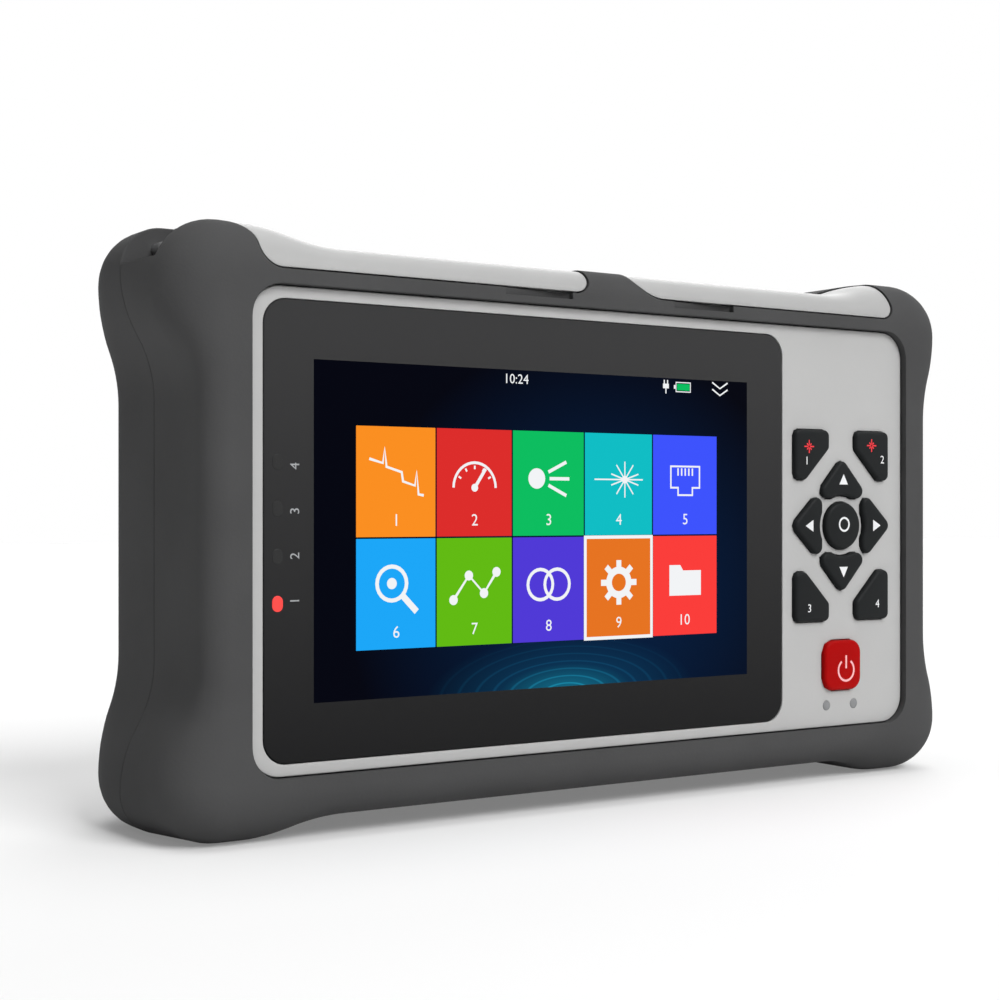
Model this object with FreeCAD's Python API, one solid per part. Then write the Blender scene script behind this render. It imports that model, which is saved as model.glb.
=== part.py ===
"""Handheld optical time domain reflectometer, as separate pieces in one frame, in millimetres.

X runs along the front panel, +X to its right. Y runs from the front, which faces -Y, to the back. Z is up.
The origin is the middle of the footprint, on the surface that the two lower corners stand on.
"""
import FreeCAD, Part
import math
import os

Vector = FreeCAD.Vector

# Screen, which the rest of the front is laid out round
lcd_width = 118.0
lcd_height = 72.0
lcd_thickness = 3.4
lcd_gap = 0.5
lcd_glass_step = 0.8
lcd_glass_border_x = 1.5
lcd_glass_border_z = 1.0
lens_border_x = 5.5
lens_border_z = 7.45
lens_corner = 4.75
lens_thickness = 1.5
lens_glue = 0.1
lens_gap = 0.1
bracket_thickness = 1.0
bracket_band = 9.0
bracket_ear_width = 6.4
bracket_ear_height = 8.0
bracket_ear_reach = 3.1
bracket_ear_drop = 6.0
bracket_gap = 0.1
bracket_post_radius = 2.2
bracket_hole_radius = 0.9

# Front and back panels
panel_left_border = 2.5
panel_key_column = 37.7
panel_border_z = 2.25
panel_corner = 6.0
panel_recess = 1.5
back_recess = 1.2
panel_root = 0.5

# Rubber bumpers and hard cases
rubber_wall = 3.2
case_wall = 2.0
case_corner = 9.0
case_bevel = 2.0
panel_gap = 0.35
seal_width = 1.0
seal_depth = 0.8

# Body form: waists between round corner humps
waist_border = 9.2
flat_border = 9.8
hump_reach_x = 6.9
hump_reach_z = 2.9
waist_length = 50.0
flare_length = 30.8
corner_radius = 12.5
hump_flat = 5.0
front_round_side = 5.0
front_round_flat = 6.3
front_round_corner = 11.0
front_round_reach = 11.0
rear_round_side = 8.0
rear_round_flat = 8.0
rear_round_corner = 11.5
rear_round_reach = 19.0
rim_steps = (0.0, 0.1, 0.36, 1.0)
straight_limit = 0.02

# Strap slots across the two upper corners
strap_slot_width = 14.5
strap_slot_reach = 11.0
strap_slot_depth = 7.6
strap_bar_radius = 1.2
strap_bar_reach = 7.5
strap_bar_depth = 4.3
strap_bar_seat = 2.5

# Row of indicator lights beside the screen
light_inset = 2.95
light_levels = (-13.5, -4.7, 4.2, 12.9)
light_width = 2.2
light_height = 3.0
light_gap = 0.05
light_reach = 4.2
light_board_width = 4.8
light_board_height = 36.0
light_post_level = 15.6
light_post_radius = 1.5
board_thickness = 1.6
corner_chords = 2
round_chords = 24

# Keys, laid out upwards from the foot of the panel
keypad_inset = 19.7
status_light_margin = 4.8
status_light_radius = 1.12
status_light_spread = 4.3
power_key_rise = 9.15
power_key_drop = 32.2
key_rise = 1.2
key_travel = 0.6
key_gap = 0.2
key_flange = 0.4
key_flange_thickness = 0.8
key_flange_gap = 0.1
key_bevel = 0.6
key_stem_radius = 1.6
key_stem_length = 1.75
ok_key_radius = 5.45
arrow_inner_reach = 6.3
arrow_tip_reach = 15.65
arrow_half_base = 8.7
arrow_hollow_radius = 7.0
arrow_corner = 1.7
arrow_stem_shift = 1.2
corner_key_width = 10.6
corner_key_height = 11.4
corner_key_offset_x = 9.5
corner_key_offset_z = 16.2
corner_key_cut = 7.2
corner_key_corner = 1.4
corner_stem_shift = 1.5
power_key_size = 11.5
power_key_corner = 3.0
keypad_board_width = 34.0
keypad_board_top_gap = 2.0
keypad_board_foot_gap = 5.7
keypad_post_radius = 1.8
keypad_post_margin = 3.0
boss_relief = 0.6
mat_thickness = 0.8
mat_rim = 1.2
mat_margin = 0.6
mat_gap = 0.05
mat_hole_gap = 0.4
dome_radius = 2.0
dome_crown = 1.1
dome_height = 0.3
stem_dome_gap = 0.05

# Screws that hold the two cases together
screw_inset_x = 11.2
screw_inset_z = 11.3
screw_radius = 1.4
screw_head_radius = 2.6
screw_head_height = 2.0
screw_head_gap = 0.4
screw_length = 25.0
screw_boss_radius = 3.4
screw_boss_roof = 4.0
screw_hole_radius = 1.6
screw_seat_depth = 3.2

# Top covers and their hinges
cover_gap = 0.35
cover_sink = 0.3
cover_wall = 2.0
case_clearance = 0.15
cover_edge_drop = 3.1
cover_end_round = 3.4
optical_cover_inner = -7.8
optical_cover_inset = 6.2
optical_cover_foot = 4.2
optical_cover_flare = 5.0
data_cover_inner = 3.0
data_cover_inset = 12.7
data_cover_foot = 8.9
hinge_setback = 27.0
hinge_rise = 0.6
hinge_pin_radius = 0.8
hinge_running_gap = 0.05
hinge_swing_gap = 1.0
hinge_lug_width = 4.0
hinge_lug_radius = 1.7
hinge_side_gap = 0.3
barrel_clearance = 0.4
optical_hinge_outer = 26.6
optical_hinge_inner = 4.7
data_hinge_outer = 20.1
data_hinge_inner = 10.5
cover_step_back = 20.5
cover_sweep_back = 11.0
notch_width = 16.7
notch_height = 1.7
notch_depth = 1.8
notch_end_share = 0.7
optical_notch_reach = 21.3
data_notch_reach = 11.5

# Port tray under the two top covers
tray_side_gap = 15.0
tray_gap = 0.1
tray_height = 14.9
tray_floor = 1.6
tray_wall = 1.3
tray_back_wall = 7.4
tray_setback = 30.2
bay_outer_wall = 2.6
optical_bay_inset = 4.2
data_bay_inset = 13.0

# Optical ports
port_setback = 14.7
port_pitch = 17.5
adapter_flange = 12.5
adapter_flange_thickness = 1.4
adapter_barrel_radius = 4.4
adapter_barrel_height = 6.6
adapter_tail_radius = 3.6
adapter_tail_length = 4.2
adapter_key_width = 2.2
adapter_key_depth = 1.0
adapter_key_foot = 2.0
adapter_chords = 16
ferrule_bore_radius = 1.25
sleeve_recess_radius = 2.6
sleeve_recess_depth = 2.0
laser_radius = 3.2
laser_length = 12.0
laser_collar = 0.8
laser_collar_height = 2.0

# Sockets on the data side
dc_jack_width = 9.5
dc_jack_bore = 2.9
dc_jack_depth = 8.5
dc_jack_pin = 0.95
dc_jack_pin_sink = 1.0
usb_width = 13.1
usb_depth = 5.7
usb_wall = 0.4
usb_mouth_depth = 8.8
usb_tongue = 1.9
usb_tongue_gap = 0.3
usb_tongue_sink = 0.6
lan_width = 16.0
lan_depth = 13.4
lan_opening_width = 11.7
lan_opening_depth = 7.0
lan_opening_shift = 0.6
lan_mouth_depth = 9.0
lan_latch_width = 4.2
lan_latch_depth = 2.0
lan_contacts = 8
lan_contact_pitch = 1.02
lan_contact_width = 0.4
lan_contact_sink = 2.5
socket_height = 10.4
socket_hole_gap = 0.2
port_board_margin = 0.5
port_board_depth = 14.4
port_board_gap = 0.1

# Inner modules, stacked behind the screen
main_board_gap = 1.8
main_board_side_gap = 6.6
main_board_foot_gap = 6.3
main_board_top_gap = 7.4
main_board_key_gap = 1.4
main_post_radius = 1.8
main_post_margin = 3.5
chip_column_width = 22.0
chip_column_margin = 8.5
chip_heights = ((-4.0, 14.0, 1.6), (-22.0, 10.0, 1.2), (20.0, 6.0, 4.0))
module_side_gap = 12.0
module_chip_gap = 8.0
module_foot_gap = 16.0
module_top_gap = 13.0
module_thickness = 12.6
module_fin_pitch = 6.0
module_fin_width = 2.0
module_fin_depth = 1.6
module_fin_margin = 5.0
battery_gap = 3.4
battery_width = 124.0
battery_foot_gap = 8.3
battery_top_gap = 22.4
battery_thickness = 17.4
battery_bevel = 2.5
battery_plug = 4.0
seat_gap = 0.2

# Stand on the back
stand_width = 56.0
stand_length = 62.0
stand_thickness = 2.2
stand_gap = 0.4
stand_foot_margin = 5.7
stand_pin_radius = 1.0
stand_barrel_radius = 1.6
stand_pin_seat = 3.0
stand_window_width = 36.0
stand_window_height = 34.0
stand_window_corner = 5.0
stand_window_sill = 11.5
stand_corner = 5.0
stand_sink = 0.2
stand_finger_radius = 6.0
stand_rib_height = 8.0
stand_rib_depth = 2.0

# Overlap that joins two blanks into one solid, and the flats of a post that a round fits between
weld = 0.1
post_grip = math.cos(math.pi / 6) * 0.97

# Widths and heights, from the screen outwards
lens_width = lcd_width + 2 * lens_border_x
lens_height = lcd_height + 2 * lens_border_z
panel_width = panel_left_border + lens_width + panel_key_column
panel_height = lens_height + 2 * panel_border_z
waist_width = panel_width + 2 * waist_border
flat_height = panel_height + 2 * flat_border
body_width = waist_width + 2 * hump_reach_x
body_height = flat_height + 2 * hump_reach_z
screen_centre = -panel_width / 2 + panel_left_border + lens_width / 2
mid = body_height / 2
flare_start = waist_width / 2 - flare_length
corner_x = body_width / 2 - corner_radius
corner_z = body_height / 2 - corner_radius
hump_x = corner_x - hump_flat
case_half_width = waist_width / 2 - rubber_wall
case_half_height = flat_height / 2 - rubber_wall

# Depths, as the stack of screen, boards, module and battery needs them
front_stack = panel_recess + lens_thickness + lens_glue + lcd_thickness + bracket_gap + bracket_thickness
inner_stack = main_board_gap + board_thickness + seat_gap + module_thickness + battery_gap + battery_thickness
body_depth = front_stack + inner_stack + seat_gap + case_wall + rubber_wall
front_plane = -body_depth / 2
rear_plane = body_depth / 2
case_front = front_plane + rubber_wall
case_rear = rear_plane - rubber_wall
case_inner_front = case_front + case_wall
case_inner_rear = case_rear - case_wall
panel_plane = front_plane + panel_recess
back_plane = rear_plane - back_recess
lcd_front = panel_plane + lens_thickness + lens_glue
light_board_front = lcd_front + light_reach
bracket_front = lcd_front + lcd_thickness + bracket_gap
main_board_depth = bracket_front + bracket_thickness + main_board_gap

# Places of the keys, lights and screws
keypad_side = panel_width / 2 - keypad_inset
status_light_level = -panel_height / 2 + status_light_margin
keypad_level = status_light_level + power_key_rise + power_key_drop
light_side = screen_centre - lens_width / 2 + light_inset
screw_side = case_half_width - screw_inset_x
screw_level = case_half_height - screw_inset_z
flange_front = case_inner_front + key_flange_gap
flange_rear = flange_front + key_flange_thickness
stem_end = flange_rear + key_stem_length
keypad_board_front = stem_end + key_travel + stem_dome_gap + dome_height

# Places of the covers, their hinges and the port tray
cover_lower_edge = case_half_height - cover_edge_drop
optical_cover_ends = (-waist_width / 2 + optical_cover_inset, optical_cover_inner)
data_cover_ends = (data_cover_inner, waist_width / 2 - data_cover_inset)
optical_hinge = (optical_cover_ends[0] + optical_hinge_outer, optical_cover_inner - optical_hinge_inner)
data_hinge = (data_cover_inner + data_hinge_inner, data_cover_ends[1] - data_hinge_outer)
notch_starts = (optical_cover_inner - optical_notch_reach, data_cover_inner + data_notch_reach)
hinge_depth = front_plane + hinge_setback
hinge_level = case_half_height + hinge_rise
barrel_radius = flat_height / 2 - cover_sink - hinge_level
cover_step = front_plane + cover_step_back
cover_sweep = front_plane + cover_sweep_back
tray_half_width = case_half_width - tray_side_gap
tray_bottom = case_half_height - tray_height
tray_rear = front_plane + tray_setback
optical_bay = (-tray_half_width + bay_outer_wall, optical_cover_inner - optical_bay_inset)
data_bay = (data_cover_inner + data_bay_inset, tray_half_width - bay_outer_wall)
port_level = front_plane + port_setback
optical_port_sides = [(optical_bay[0] + optical_bay[1]) / 2 + step * port_pitch for step in (-1, 0, 1)]
socket_spacing = (data_bay[1] - data_bay[0] - dc_jack_width - usb_width - lan_width) / 4
dc_jack_side = data_bay[0] + socket_spacing + dc_jack_width / 2
usb_side = dc_jack_side + dc_jack_width / 2 + socket_spacing + usb_width / 2
lan_side = data_bay[1] - socket_spacing - lan_width / 2

# Places of the boards, the module, the battery and the stand
keypad_board_top = tray_bottom - keypad_board_top_gap
keypad_board_bottom = -case_half_height + keypad_board_foot_gap
main_board_left = -case_half_width + main_board_side_gap
main_board_right = keypad_side - keypad_board_width / 2 - main_board_key_gap
main_board_top = tray_bottom - main_board_top_gap
main_board_bottom = -case_half_height + main_board_foot_gap
chip_column = main_board_right - chip_column_margin - chip_column_width
module_left = main_board_left + module_side_gap
module_right = chip_column - module_chip_gap
module_bottom = main_board_bottom + module_foot_gap
module_top = main_board_top - module_top_gap
battery_bottom = -case_half_height + battery_foot_gap
battery_top = tray_bottom - battery_top_gap
stand_hinge_level = -panel_height / 2 + stand_foot_margin + stand_length

axis_x = Vector(1, 0, 0)
axis_y = Vector(0, 1, 0)
axis_z = Vector(0, 0, 1)


def box(x0, x1, y0, y1, z0, z1):
    """Box between two corners, with the heights counted from the middle of the body."""
    return Part.makeBox(x1 - x0, y1 - y0, z1 - z0, Vector(x0, y0, mid + z0))


def rod(x, y, z, radius, length, axis):
    """Cylinder from a point, with its height counted from the middle of the body."""
    return Part.makeCylinder(radius, length, Vector(x, y, mid + z), axis)


def post(x, y, z, radius, length, axis, flats=6):
    """Post or hole with flats in place of a round wall, from a point, its height from the middle."""
    arm = (axis_x if abs(axis.z) > 0.5 else axis_z) * radius
    ring = []
    for index in range(flats + 1):
        turn = FreeCAD.Rotation(axis, 360.0 * index / flats)
        ring.append(Vector(x, y, mid + z) + turn.multVec(arm))
    return Part.Face(Part.makePolygon(ring)).extrude(axis * length)


def flat_sided(near, far):
    """Solid between two rings of points whose matching sides are parallel."""
    count = len(near)
    faces = [Part.Face(Part.makePolygon(ring + ring[:1])) for ring in (near, far)]
    for index in range(count):
        after = (index + 1) % count
        side = [near[index], near[after], far[after], far[index], near[index]]
        faces.append(Part.Face(Part.makePolygon(side)))
    solid = Part.Solid(Part.Shell(faces))
    if solid.Volume < 0:
        solid.reverse()
    return solid


def soft_ring(points, radius, margin, y):
    """Points at depth y round some corners (x, z), each turned in short chords, grown by a margin."""
    ring = []
    count = len(points)
    for index in range(count):
        corner = Vector(points[index][0], 0, points[index][1])
        before = (Vector(points[index - 1][0], 0, points[index - 1][1]) - corner).normalize()
        after = (Vector(points[(index + 1) % count][0], 0, points[(index + 1) % count][1]) - corner).normalize()
        inward = (before + after).normalize()
        half_opening = math.acos(before.dot(after)) / 2
        centre = corner + inward * (radius / math.sin(half_opening))
        start = (before * before.dot(inward) - inward).normalize()
        end = (after * after.dot(inward) - inward).normalize()
        turn = FreeCAD.Rotation(start, end)
        for step in range(corner_chords + 1):
            part_turn = FreeCAD.Rotation(turn.Axis, math.degrees(turn.Angle) * step / corner_chords)
            ring.append(centre + part_turn.multVec(start) * (radius + margin) + Vector(0, y, mid))
    return ring


def soft_block(points, radius, y0, y1, grow0, grow1):
    """Block along Y between two soft rings, grown by a margin of its own at each end."""
    return flat_sided(soft_ring(points, radius, grow0, y0), soft_ring(points, radius, grow1, y1))


def round_block(radius, y0, y1, grow0, grow1):
    """Round block along Y in short chords, grown by a margin of its own at each end."""
    rings = []
    for y, reach in ((y0, radius + grow0), (y1, radius + grow1)):
        angles = [2 * math.pi * index / round_chords for index in range(round_chords)]
        rings.append([Vector(reach * math.cos(angle), y, mid + reach * math.sin(angle)) for angle in angles])
    return flat_sided(rings[0], rings[1])


def fused(solids):
    """One solid from several that touch."""
    result = solids[0]
    for solid in solids[1:]:
        result = result.fuse(solid)
    return result.removeSplitter()


def without(solid, cutters):
    """The solid with each cutter taken away."""
    for cutter in cutters:
        solid = solid.cut(cutter)
    return solid


def prism_z(points, z0, z1):
    """Straight-sided prism along Z from points (x, y)."""
    ring = [Vector(x, y, mid + z0) for x, y in points]
    face = Part.Face(Part.makePolygon(ring + ring[:1]))
    return face.extrude(Vector(0, 0, z1 - z0))


def edges_along(solid, axis):
    """The straight edges of a solid that run along one axis."""
    found = []
    for edge in solid.Edges:
        if edge.Curve.TypeId == "Part::GeomLine" and abs(abs(edge.tangentAt(edge.FirstParameter).dot(axis)) - 1) < 1e-6:
            found.append(edge)
    return found


def rounded_along(solid, axis, radius):
    """The solid with its edges along one axis rounded."""
    return solid.makeFillet(radius, edges_along(solid, axis))


def plate(x, z, width, height, corner, y0, y1):
    """Rounded rectangular plate that faces along Y, from its centre."""
    blank = box(x - width / 2, x + width / 2, y0, y1, z - height / 2, z + height / 2)
    return rounded_along(blank, axis_y, corner)


def block_y(x, z, width, height, y0, y1):
    """Square-cornered plate that faces along Y, from its centre."""
    return box(x - width / 2, x + width / 2, y0, y1, z - height / 2, z + height / 2)


def rim_inset(depth, radius):
    """How far a round rim of this radius is drawn in at this depth below the face."""
    if depth >= radius:
        return 0.0
    return radius - math.sqrt(radius ** 2 - (radius - depth) ** 2)


def ogee(start, end, upright, place):
    """Two equal arcs that join two points in an S, leaving both along Z if upright, else along X."""
    run = end[1] - start[1] if upright else end[0] - start[0]
    rise = end[0] - start[0] if upright else end[1] - start[1]
    middle = ((start[0] + end[0]) / 2, (start[1] + end[1]) / 2)
    if abs(rise) < straight_limit:
        return [Part.makeLine(place(*start), place(*middle)), Part.makeLine(place(*middle), place(*end))]
    radius = (run ** 2 + rise ** 2) / (4 * abs(rise))
    half_turn = math.asin(abs(run) / 2 / radius) / 2
    along = math.copysign(radius * math.sin(half_turn), run)
    aside = math.copysign(radius * (1 - math.cos(half_turn)), rise)
    dx, dz = (aside, along) if upright else (along, aside)
    first = Part.Arc(place(*start), place(start[0] + dx, start[1] + dz), place(*middle))
    second = Part.Arc(place(*middle), place(end[0] - dx, end[1] - dz), place(*end))
    return [first.toShape(), second.toShape()]


def outline(y, side, flat, radius):
    """Closed outline of the body at depth y: waists and flats that swell into round corner humps."""
    reach_x = corner_x + radius
    reach_z = corner_z + radius
    diagonal = radius * math.sqrt(0.5)
    edges = []
    for sign_x, sign_z in ((1, 1), (-1, 1), (-1, -1), (1, -1)):
        def place(x, z):
            """A point of this quarter of the outline."""
            return Vector(sign_x * x, y, mid + sign_z * z)
        quarter = [Part.makeLine(place(side, 0), place(side, waist_length / 2))]
        quarter += ogee((side, waist_length / 2), (reach_x, corner_z), True, place)
        quarter.append(Part.Arc(place(reach_x, corner_z), place(corner_x + diagonal, corner_z + diagonal),
                                place(corner_x, reach_z)).toShape())
        quarter.append(Part.makeLine(place(corner_x, reach_z), place(hump_x, reach_z)))
        quarter += ogee((hump_x, reach_z), (flare_start, flat), False, place)
        quarter.append(Part.makeLine(place(flare_start, flat), place(0, flat)))
        edges += quarter if sign_x == sign_z else quarter[::-1]
    return Part.Wire(Part.__sortEdges__(edges))


def half_form(inset, rounds, facing):
    """Half of the body form, from its face to the parting plane, shrunk by an inset all round.

    The rounds are those of the sides, the flats and the corners, and how deep the corners' one reaches.
    facing is -1 for the front half and 1 for the rear half.
    """
    side_round, flat_round, corner_round, reach = [size - inset for size in rounds]
    full = body_depth / 2 - inset
    sections = []
    for step in rim_steps:
        depth = reach * step
        side = waist_width / 2 - inset - rim_inset(depth, side_round)
        flat = flat_height / 2 - inset - rim_inset(depth, flat_round)
        radius = corner_radius - inset - corner_round * rim_inset(step, 1)
        sections.append(outline(facing * (full - depth), side, flat, radius))
    straight = Part.Face(sections[-1]).extrude(Vector(0, -facing * (full - reach), 0))
    return fused([Part.makeLoft(sections, True, True), straight])


def front_form(inset):
    """Front half of the body form."""
    return half_form(inset, (front_round_side, front_round_flat, front_round_corner, front_round_reach), -1)


def rear_form(inset):
    """Rear half of the body form."""
    return half_form(inset, (rear_round_side, rear_round_flat, rear_round_corner, rear_round_reach), 1)


def case_block(y0, y1, grow0, grow1):
    """Block with the plan of the hard cases, grown by a margin of its own at each end."""
    w = case_half_width
    h = case_half_height
    return soft_block([(-w, -h), (w, -h), (w, h), (-w, h)], case_corner, y0, y1, grow0, grow1)


def rimmed_block(facing, grow):
    """Case block from its outer face to the parting plane, with a bevelled rim, grown all round.

    facing is -1 for the front case and 1 for the rear case.
    """
    face = (case_rear if facing > 0 else case_front) + facing * grow
    knee = face - facing * case_bevel
    return fused([case_block(knee, face, grow, grow - case_bevel), case_block(0, knee, grow, grow)])


def cover_outline(ends, foot, flare, gap):
    """Front view of a cover: its left end curves up, and out again if it has a flare. Its right end is round."""
    high = body_height / 2 + 1
    low = cover_lower_edge - gap
    edges = []

    def quarter(x, z, radius, toward_x, toward_z):
        """A quarter turn round a centre, between the two sides that it faces."""
        reach = radius * math.sqrt(0.5)
        edges.append(Part.Arc(Vector(x + toward_x * radius, 0, mid + z),
                              Vector(x + toward_x * reach, 0, mid + z + toward_z * reach),
                              Vector(x, 0, mid + z + toward_z * radius)).toShape())

    def line(x0, z0, x1, z1):
        """A straight edge between two points."""
        edges.append(Part.makeLine(Vector(x0, 0, mid + z0), Vector(x1, 0, mid + z1)))

    level = cover_lower_edge + foot
    start = ends[0] + flare + foot
    quarter(start, level, foot + gap, -1, -1)
    left = ends[0] - gap
    if flare:
        quarter(ends[0], level, flare - gap, 1, 1)
        left = ends[0]
        level += flare - gap
    quarter(ends[1] - cover_end_round, cover_lower_edge + cover_end_round, cover_end_round + gap, 1, -1)
    line(left, level, left, high)
    line(left, high, ends[1] + gap, high)
    line(ends[1] + gap, high, ends[1] + gap, cover_lower_edge + cover_end_round)
    line(start, low, ends[1] - cover_end_round, low)
    return Part.Face(Part.Wire(Part.__sortEdges__(edges)))


def cover_plan(ends, hinge, gap, swing):
    """Top view of a cover: full depth along its hinge, and stepped back where it climbs a corner hump."""
    rear = hinge_depth + barrel_radius + swing
    near, far = sorted(hinge, key=abs)
    inner, tip = sorted(ends, key=abs)
    out = 1 if ends[0] > 0 else -1
    heel = far + out * (hinge_lug_width + hinge_side_gap + gap)
    toe = near - out * (hinge_lug_width + hinge_side_gap + gap)
    return [
        (inner - out * gap, front_plane - 1),
        (inner - out * gap, cover_step + swing),
        (toe, cover_step + swing),
        (toe, rear),
        (heel, rear),
        (heel, cover_step + swing),
        (tip + out * gap, cover_sweep + swing),
        (tip + out * gap, front_plane - 1),
    ]


def cover_region(ends, foot, flare, hinge, gap, swing):
    """The space of a cover, or of its recess when gaps are added."""
    upright = cover_outline(ends, foot, flare, gap)
    upright.translate(Vector(0, front_plane - 1, 0))
    upright = upright.extrude(Vector(0, body_depth, 0))
    return upright.common(prism_z(cover_plan(ends, hinge, gap, swing), 0, body_height / 2 + 2))


covers = {
    "optical_cover": (optical_cover_ends, optical_cover_foot, optical_cover_flare, optical_hinge),
    "aux_cover": (data_cover_ends, data_cover_foot, 0, data_hinge),
}


def hinge_lugs(hinge):
    """Stretches of the two lugs, at the ends of a cover hinge."""
    start, end = hinge
    return [(start - hinge_lug_width, start), (end, end + hinge_lug_width)]


def strap_slot(side):
    """Slot for the strap across one upper corner, behind the front hump."""
    half = body_width / 2
    top = body_height / 2
    x0, x1 = sorted((side * (half - strap_slot_reach), side * (half + 1)))
    return box(x0, x1, -strap_slot_width, 0, top - strap_slot_depth, top + 1)


def strap_bar(side):
    """Steel bar across a strap slot, seated in the rubber on both sides."""
    start = -strap_slot_width - strap_bar_seat
    length = strap_slot_width + 2 * strap_bar_seat
    return post(side * (body_width / 2 - strap_bar_reach), start, body_height / 2 - strap_bar_depth,
                strap_bar_radius, length, axis_y, 12)


def finger_notch(start):
    """Notch under a cover's front edge: it deepens to the right, so that a fingernail lifts the cover."""
    tip = start + notch_width
    points = [
        (start, front_plane - 1),
        (start, front_plane),
        (tip - notch_depth, front_plane + notch_depth),
        (tip, front_plane + notch_depth * notch_end_share),
        (tip, front_plane - 1),
    ]
    return prism_z(points, cover_lower_edge - notch_height, cover_lower_edge + cover_gap)


def front_bumper():
    """Rubber front jacket with the panel opening, the cover recesses and the strap slots."""
    opening = plate(0, 0, panel_width + 2 * panel_gap, panel_height + 2 * panel_gap,
                    panel_corner + panel_gap, front_plane - 1, case_front + 1)
    cutters = [rimmed_block(-1, 0), opening, *[finger_notch(start) for start in notch_starts]]
    cutters += [cover_region(*plan, cover_gap, hinge_swing_gap) for plan in covers.values()]
    for side in (-1, 1):
        cutters += [strap_slot(side), strap_bar(side)]
    return without(front_form(0), cutters)


def rear_bumper():
    """Rubber rear jacket, open over the back panel, with relief behind the cover hinges."""
    opening = plate(0, 0, panel_width + 2 * panel_gap, panel_height + 2 * panel_gap,
                    panel_corner + panel_gap, case_rear - 1, rear_plane + 1)
    cutters = [rimmed_block(1, 0), opening]
    cutters += [cover_region(*plan, cover_gap, hinge_swing_gap) for plan in covers.values()]
    cutters += [strap_bar(side) for side in (-1, 1)]
    return without(rear_form(0), cutters)


def seal_ring():
    """Flat ring in the joint between the two cases, broken where the port tray passes."""
    margin = (case_wall - seal_width) / 2
    ring = case_block(0, seal_depth, -margin, -margin)
    ring = ring.cut(case_block(-1, seal_depth + 1, -margin - seal_width, -margin - seal_width))
    return ring.cut(tray_space(tray_gap + case_wall))


def tray_space(gap):
    """The room that the port tray needs in the tops of the cases."""
    half = tray_half_width + gap
    return box(-half, half, case_inner_front, tray_rear + gap, tray_bottom, case_half_height + 1)


key_turns = {"key_up": 0, "key_right": 90, "key_down": 180, "key_left": 270}
key_flips = {"key_manual": (1, 1), "key_auto": (-1, 1), "key_setup": (1, -1), "key_back": (-1, -1)}


def key_centres():
    """Place of every key: its centre as (x, height)."""
    x = keypad_side
    z = keypad_level
    return {
        "key_ok": (x, z),
        "key_up": (x, z),
        "key_down": (x, z),
        "key_left": (x, z),
        "key_right": (x, z),
        "key_manual": (x - corner_key_offset_x, z + corner_key_offset_z),
        "key_auto": (x + corner_key_offset_x, z + corner_key_offset_z),
        "key_setup": (x - corner_key_offset_x, z - corner_key_offset_z),
        "key_back": (x + corner_key_offset_x, z - corner_key_offset_z),
        "key_power": (x, z - power_key_drop),
    }


def arrow_blank(y0, y1, grow0, grow1):
    """Upward arrow key: a blunt triangle whose base is hollowed to clear the round key."""
    points = [(-arrow_half_base, arrow_inner_reach), (arrow_half_base, arrow_inner_reach), (0, arrow_tip_reach)]
    blank = soft_block(points, arrow_corner, y0, y1, grow0, grow1)
    return blank.cut(round_block(arrow_hollow_radius, y0, y1, -grow0, -grow1))


def corner_blank(y0, y1, grow0, grow1):
    """Upper left corner key: a rectangle with its inner lower corner cut across."""
    w = corner_key_width / 2
    h = corner_key_height / 2
    points = [(-w, -h), (w - corner_key_cut, -h), (w, -h + corner_key_cut), (w, h), (-w, h)]
    return soft_block(points, corner_key_corner, y0, y1, grow0, grow1)


def key_blank(name, y0, y1, grow0, grow1):
    """Block of a key's outline in its own place, grown by a margin of its own at each end."""
    x, z = key_centres()[name]
    centre = Vector(0, 0, mid)
    if name in key_turns:
        blank = arrow_blank(y0, y1, grow0, grow1)
        blank.rotate(centre, axis_y, key_turns[name])
    elif name in key_flips:
        blank = corner_blank(y0, y1, grow0, grow1)
        if key_flips[name][0] < 0:
            blank = blank.mirror(centre, axis_x)
        if key_flips[name][1] < 0:
            blank = blank.mirror(centre, axis_z)
    elif name == "key_power":
        half = power_key_size / 2
        points = [(-half, -half), (half, -half), (half, half), (-half, half)]
        blank = soft_block(points, power_key_corner, y0, y1, grow0, grow1)
    else:
        blank = round_block(ok_key_radius, y0, y1, grow0, grow1)
    blank.translate(Vector(x, 0, z))
    return blank


def stem_point(name):
    """Where the stem of a key stands: under the middle of its face."""
    x, z = key_centres()[name]
    reach = (arrow_inner_reach + arrow_tip_reach) / 2 - arrow_stem_shift
    offsets = {"key_up": (0, reach), "key_down": (0, -reach), "key_left": (-reach, 0), "key_right": (reach, 0)}
    dx, dz = offsets.get(name, (0, 0))
    if name in key_flips:
        flip_x, flip_z = key_flips[name]
        dx, dz = -flip_x * corner_stem_shift, flip_z * corner_stem_shift
    return x + dx, z + dz


def key(name):
    """Key cap with a bevelled face, a flange that keeps it behind the panel, and a stem over its dome."""
    face = panel_plane - key_rise
    bevel = key_blank(name, face, face + key_bevel, -key_bevel, 0)
    cap = key_blank(name, face + key_bevel, flange_front, 0, 0)
    flange = key_blank(name, flange_front, flange_rear, key_flange, key_flange)
    x, z = stem_point(name)
    stem = post(x, flange_rear, z, key_stem_radius, key_stem_length, axis_y)
    return fused([bevel, cap, flange, stem])


def screw_places():
    """Places of the four case screws, as (x, height)."""
    return [(x, z) for x in (-screw_side, screw_side) for z in (-screw_level, screw_level)]


def main_posts():
    """Posts that carry the main board, near its corners."""
    foot = main_board_bottom + main_post_margin
    under_ear = lcd_height / 2 - bracket_ear_drop - bracket_ear_height / 2 - main_post_margin
    return [(module_left + main_post_margin, foot), (chip_column + main_post_margin, foot),
            (main_board_right - main_post_radius, 0), (main_board_left + main_post_radius, under_ear)]


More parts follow.
